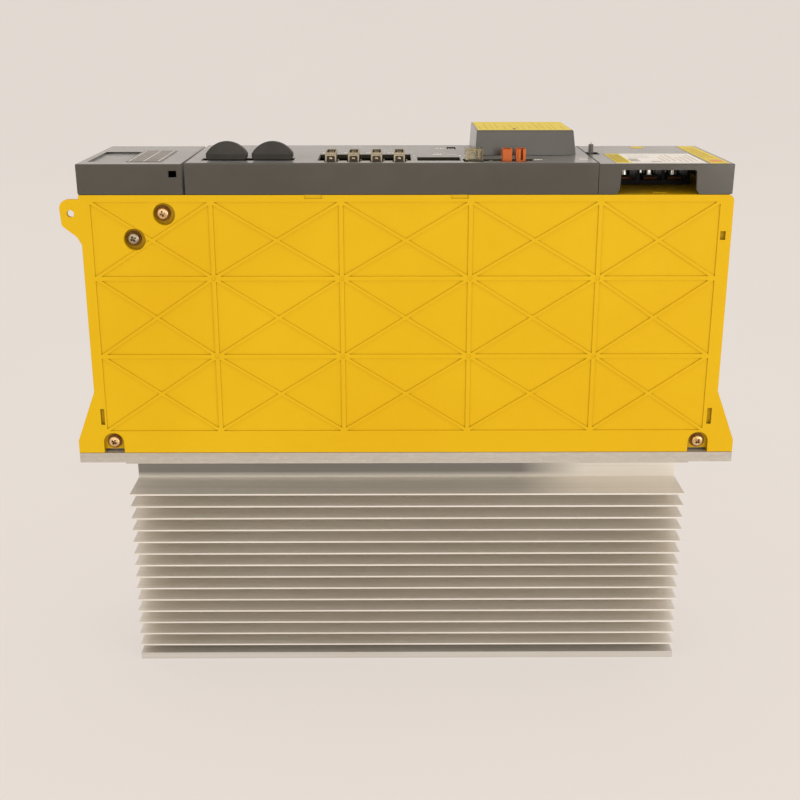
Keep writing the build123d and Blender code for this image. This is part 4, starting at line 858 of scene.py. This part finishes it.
rating = [(114.0, 122.4, -42.3, 1.5, "label_yellow"), (123.2, 128.4, -36.0, -23.0, "ink_pale"),
          (134.0, 139.6, -38.0, -34.5, "ink_pale")]
for x in (115.2, 117.0, 118.8, 120.4):
    rating += columns(x, -39.0, 0.7, 36.0, "ink_brown")
for x in (141.4, 144.2, 147.4, 150.6, 153.4, 156.6, 159.4):
    rating += columns(x, -38.0 + random.uniform(0, 5), 0.8, random.uniform(16, 30), "ink_rose")
for y in (-18.0, -12.0, -6.0):
    rating += words(125.0, y, 12.0, 1.1, "ink_pale")
marks("rating_print", "top_cover", "label_white", LABEL_TOP, rating)
caution = [(166.6, 173.4, -38.5, -27.0, "ink_orange")]
for x in (166.8, 169.0, 171.2):
    caution += columns(x, -20.0, 0.9, 52.0, "ink_brown", 1.6)
marks("caution_print", "top_cover", "label_yellow", LABEL_TOP, caution)
wiring = [(x - 0.24, x + 0.24, -34.2, 18.4, "ink_white") for x in (-152.3, -144.1, -136.2)]
for x in (-150.0, -147.6, -141.8, -139.4):
    wiring += columns(x, -30.0, 0.8, random.uniform(26, 40), "ink_haze", 1.4)
marks("wiring_print", "bottom_cover", "label_grey", LABEL_TOP, wiring)
battery = [(61.2, 62.4, -7.0, 1.0, "ink_red")]
for k in range(14):
    x = 42.5 + 3.6 * k + random.uniform(-0.6, 0.6)
    battery += columns(x, -6.0 + random.uniform(0, 6), 0.5, random.uniform(14, 40), "ink_olive", 2.0)
marks("battery_print", "battery_lid", "label_yellow", BATTERY_LABEL_TOP, battery)

# The battery cover is the highest part, so its label is a little thinner, to leave room for the print.
low, high = (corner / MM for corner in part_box("battery_label"))
label = Piece("battery_label", "battery_lid", "label_yellow")
label.add(rounded_block((low.x, low.y, low.z - PLANE / MM), (high.x, high.y, BATTERY_LABEL_TOP), 0.05, 1))
label.done("battery_label")


# ---------------------------------------------------------------- camera, floor and light
def look_camera():
    """Out from the drive's right side and above its face, looking down by 18 degrees."""
    data = bpy.data.cameras.new("camera")
    data.lens = 54.12
    data.sensor_width = 36.0
    data.clip_end = 50.0
    camera = bpy.data.objects.new("camera", data)
    camera.location = mm(-7.42, -702.13, 251.0)
    camera.rotation_euler = (math.radians(90 - 17.96), 0.0, math.radians(-0.326))
    bpy.context.scene.collection.objects.link(camera)
    bpy.context.scene.camera = camera


def floor():
    """A pale sheet under the drive that curves up far behind it, with a glow of its own to even it out."""
    g = Graph("floor", Roughness=0.95, **{"Specular IOR Level": 0.1, "Emission Strength": 0.72})
    cloud = g.noise(2.0, 3)
    colour = g.ramp(cloud, (0.3, srgb(136, 132, 127)), (0.7, srgb(138, 134, 129)))
    glow = g.ramp(cloud, (0.3, srgb(228, 220, 215)), (0.7, srgb(229, 221, 216)))
    material = g.finish(**{"Base Color": colour, "Emission Color": glow})
    profile = [(-6.0, 0.0), (2.6, 0.0)]
    radius = 1.6
    for k in range(1, 13):
        turn = math.pi / 2 * k / 12
        profile.append((2.6 + radius * math.sin(turn), radius * (1 - math.cos(turn))))
    profile.append((2.6 + radius, 7.0))
    mesh = bpy.data.meshes.new("floor")
    vertices = [(x, y, z) for y, z in profile for x in (-7.0, 7.0)]
    faces = [(2 * k, 2 * k + 1, 2 * k + 3, 2 * k + 2) for k in range(len(profile) - 1)]
    mesh.from_pydata(vertices, [], faces)
    mesh.shade_smooth()
    sheet = bpy.data.objects.new("floor", mesh)
    sheet.data.materials.append(material)
    bpy.context.scene.collection.objects.link(sheet)


def softbox(name, place, target, size, power):
    data = bpy.data.lights.new(name, "AREA")
    data.shape = "RECTANGLE"
    data.size, data.size_y = size
    data.energy = power
    data.color = LAMP_COLOUR
    light = bpy.data.objects.new(name, data)
    light.location = place
    light.rotation_mode = "QUATERNION"
    light.rotation_quaternion = (Vector(target) - Vector(place)).to_track_quat("-Z", "Y")
    bpy.context.scene.collection.objects.link(light)


def studio():
    """Even, warm light from all round, with a large box above and smaller and lower ones in front."""
    world = bpy.data.worlds.new("studio")
    world.use_nodes = True
    background = world.node_tree.nodes["Background"]
    background.inputs["Color"].default_value = (*srgb(244, 238, 230), 1.0)
    background.inputs["Strength"].default_value = 0.80
    bpy.context.scene.world = world
    centre = (0.0, 0.0, 0.18)
    softbox("overhead", (0.0, 0.25, 1.9), centre, (2.4, 1.6), 7.0)
    softbox("front_left", (-1.5, -1.7, 1.1), centre, (1.2, 1.2), 3.6)
    softbox("front_right", (1.5, -1.35, 0.42), centre, (0.9, 0.8), 8.5)
    softbox("front_low", (-0.2, -2.3, 0.55), centre, (1.8, 0.7), 5.0)
    softbox("right_glow", (0.95, -2.0, 0.14), centre, (0.5, 0.2), 1.5)


look_camera()
floor()
studio()
bpy.context.scene.view_settings.view_transform = "Standard"
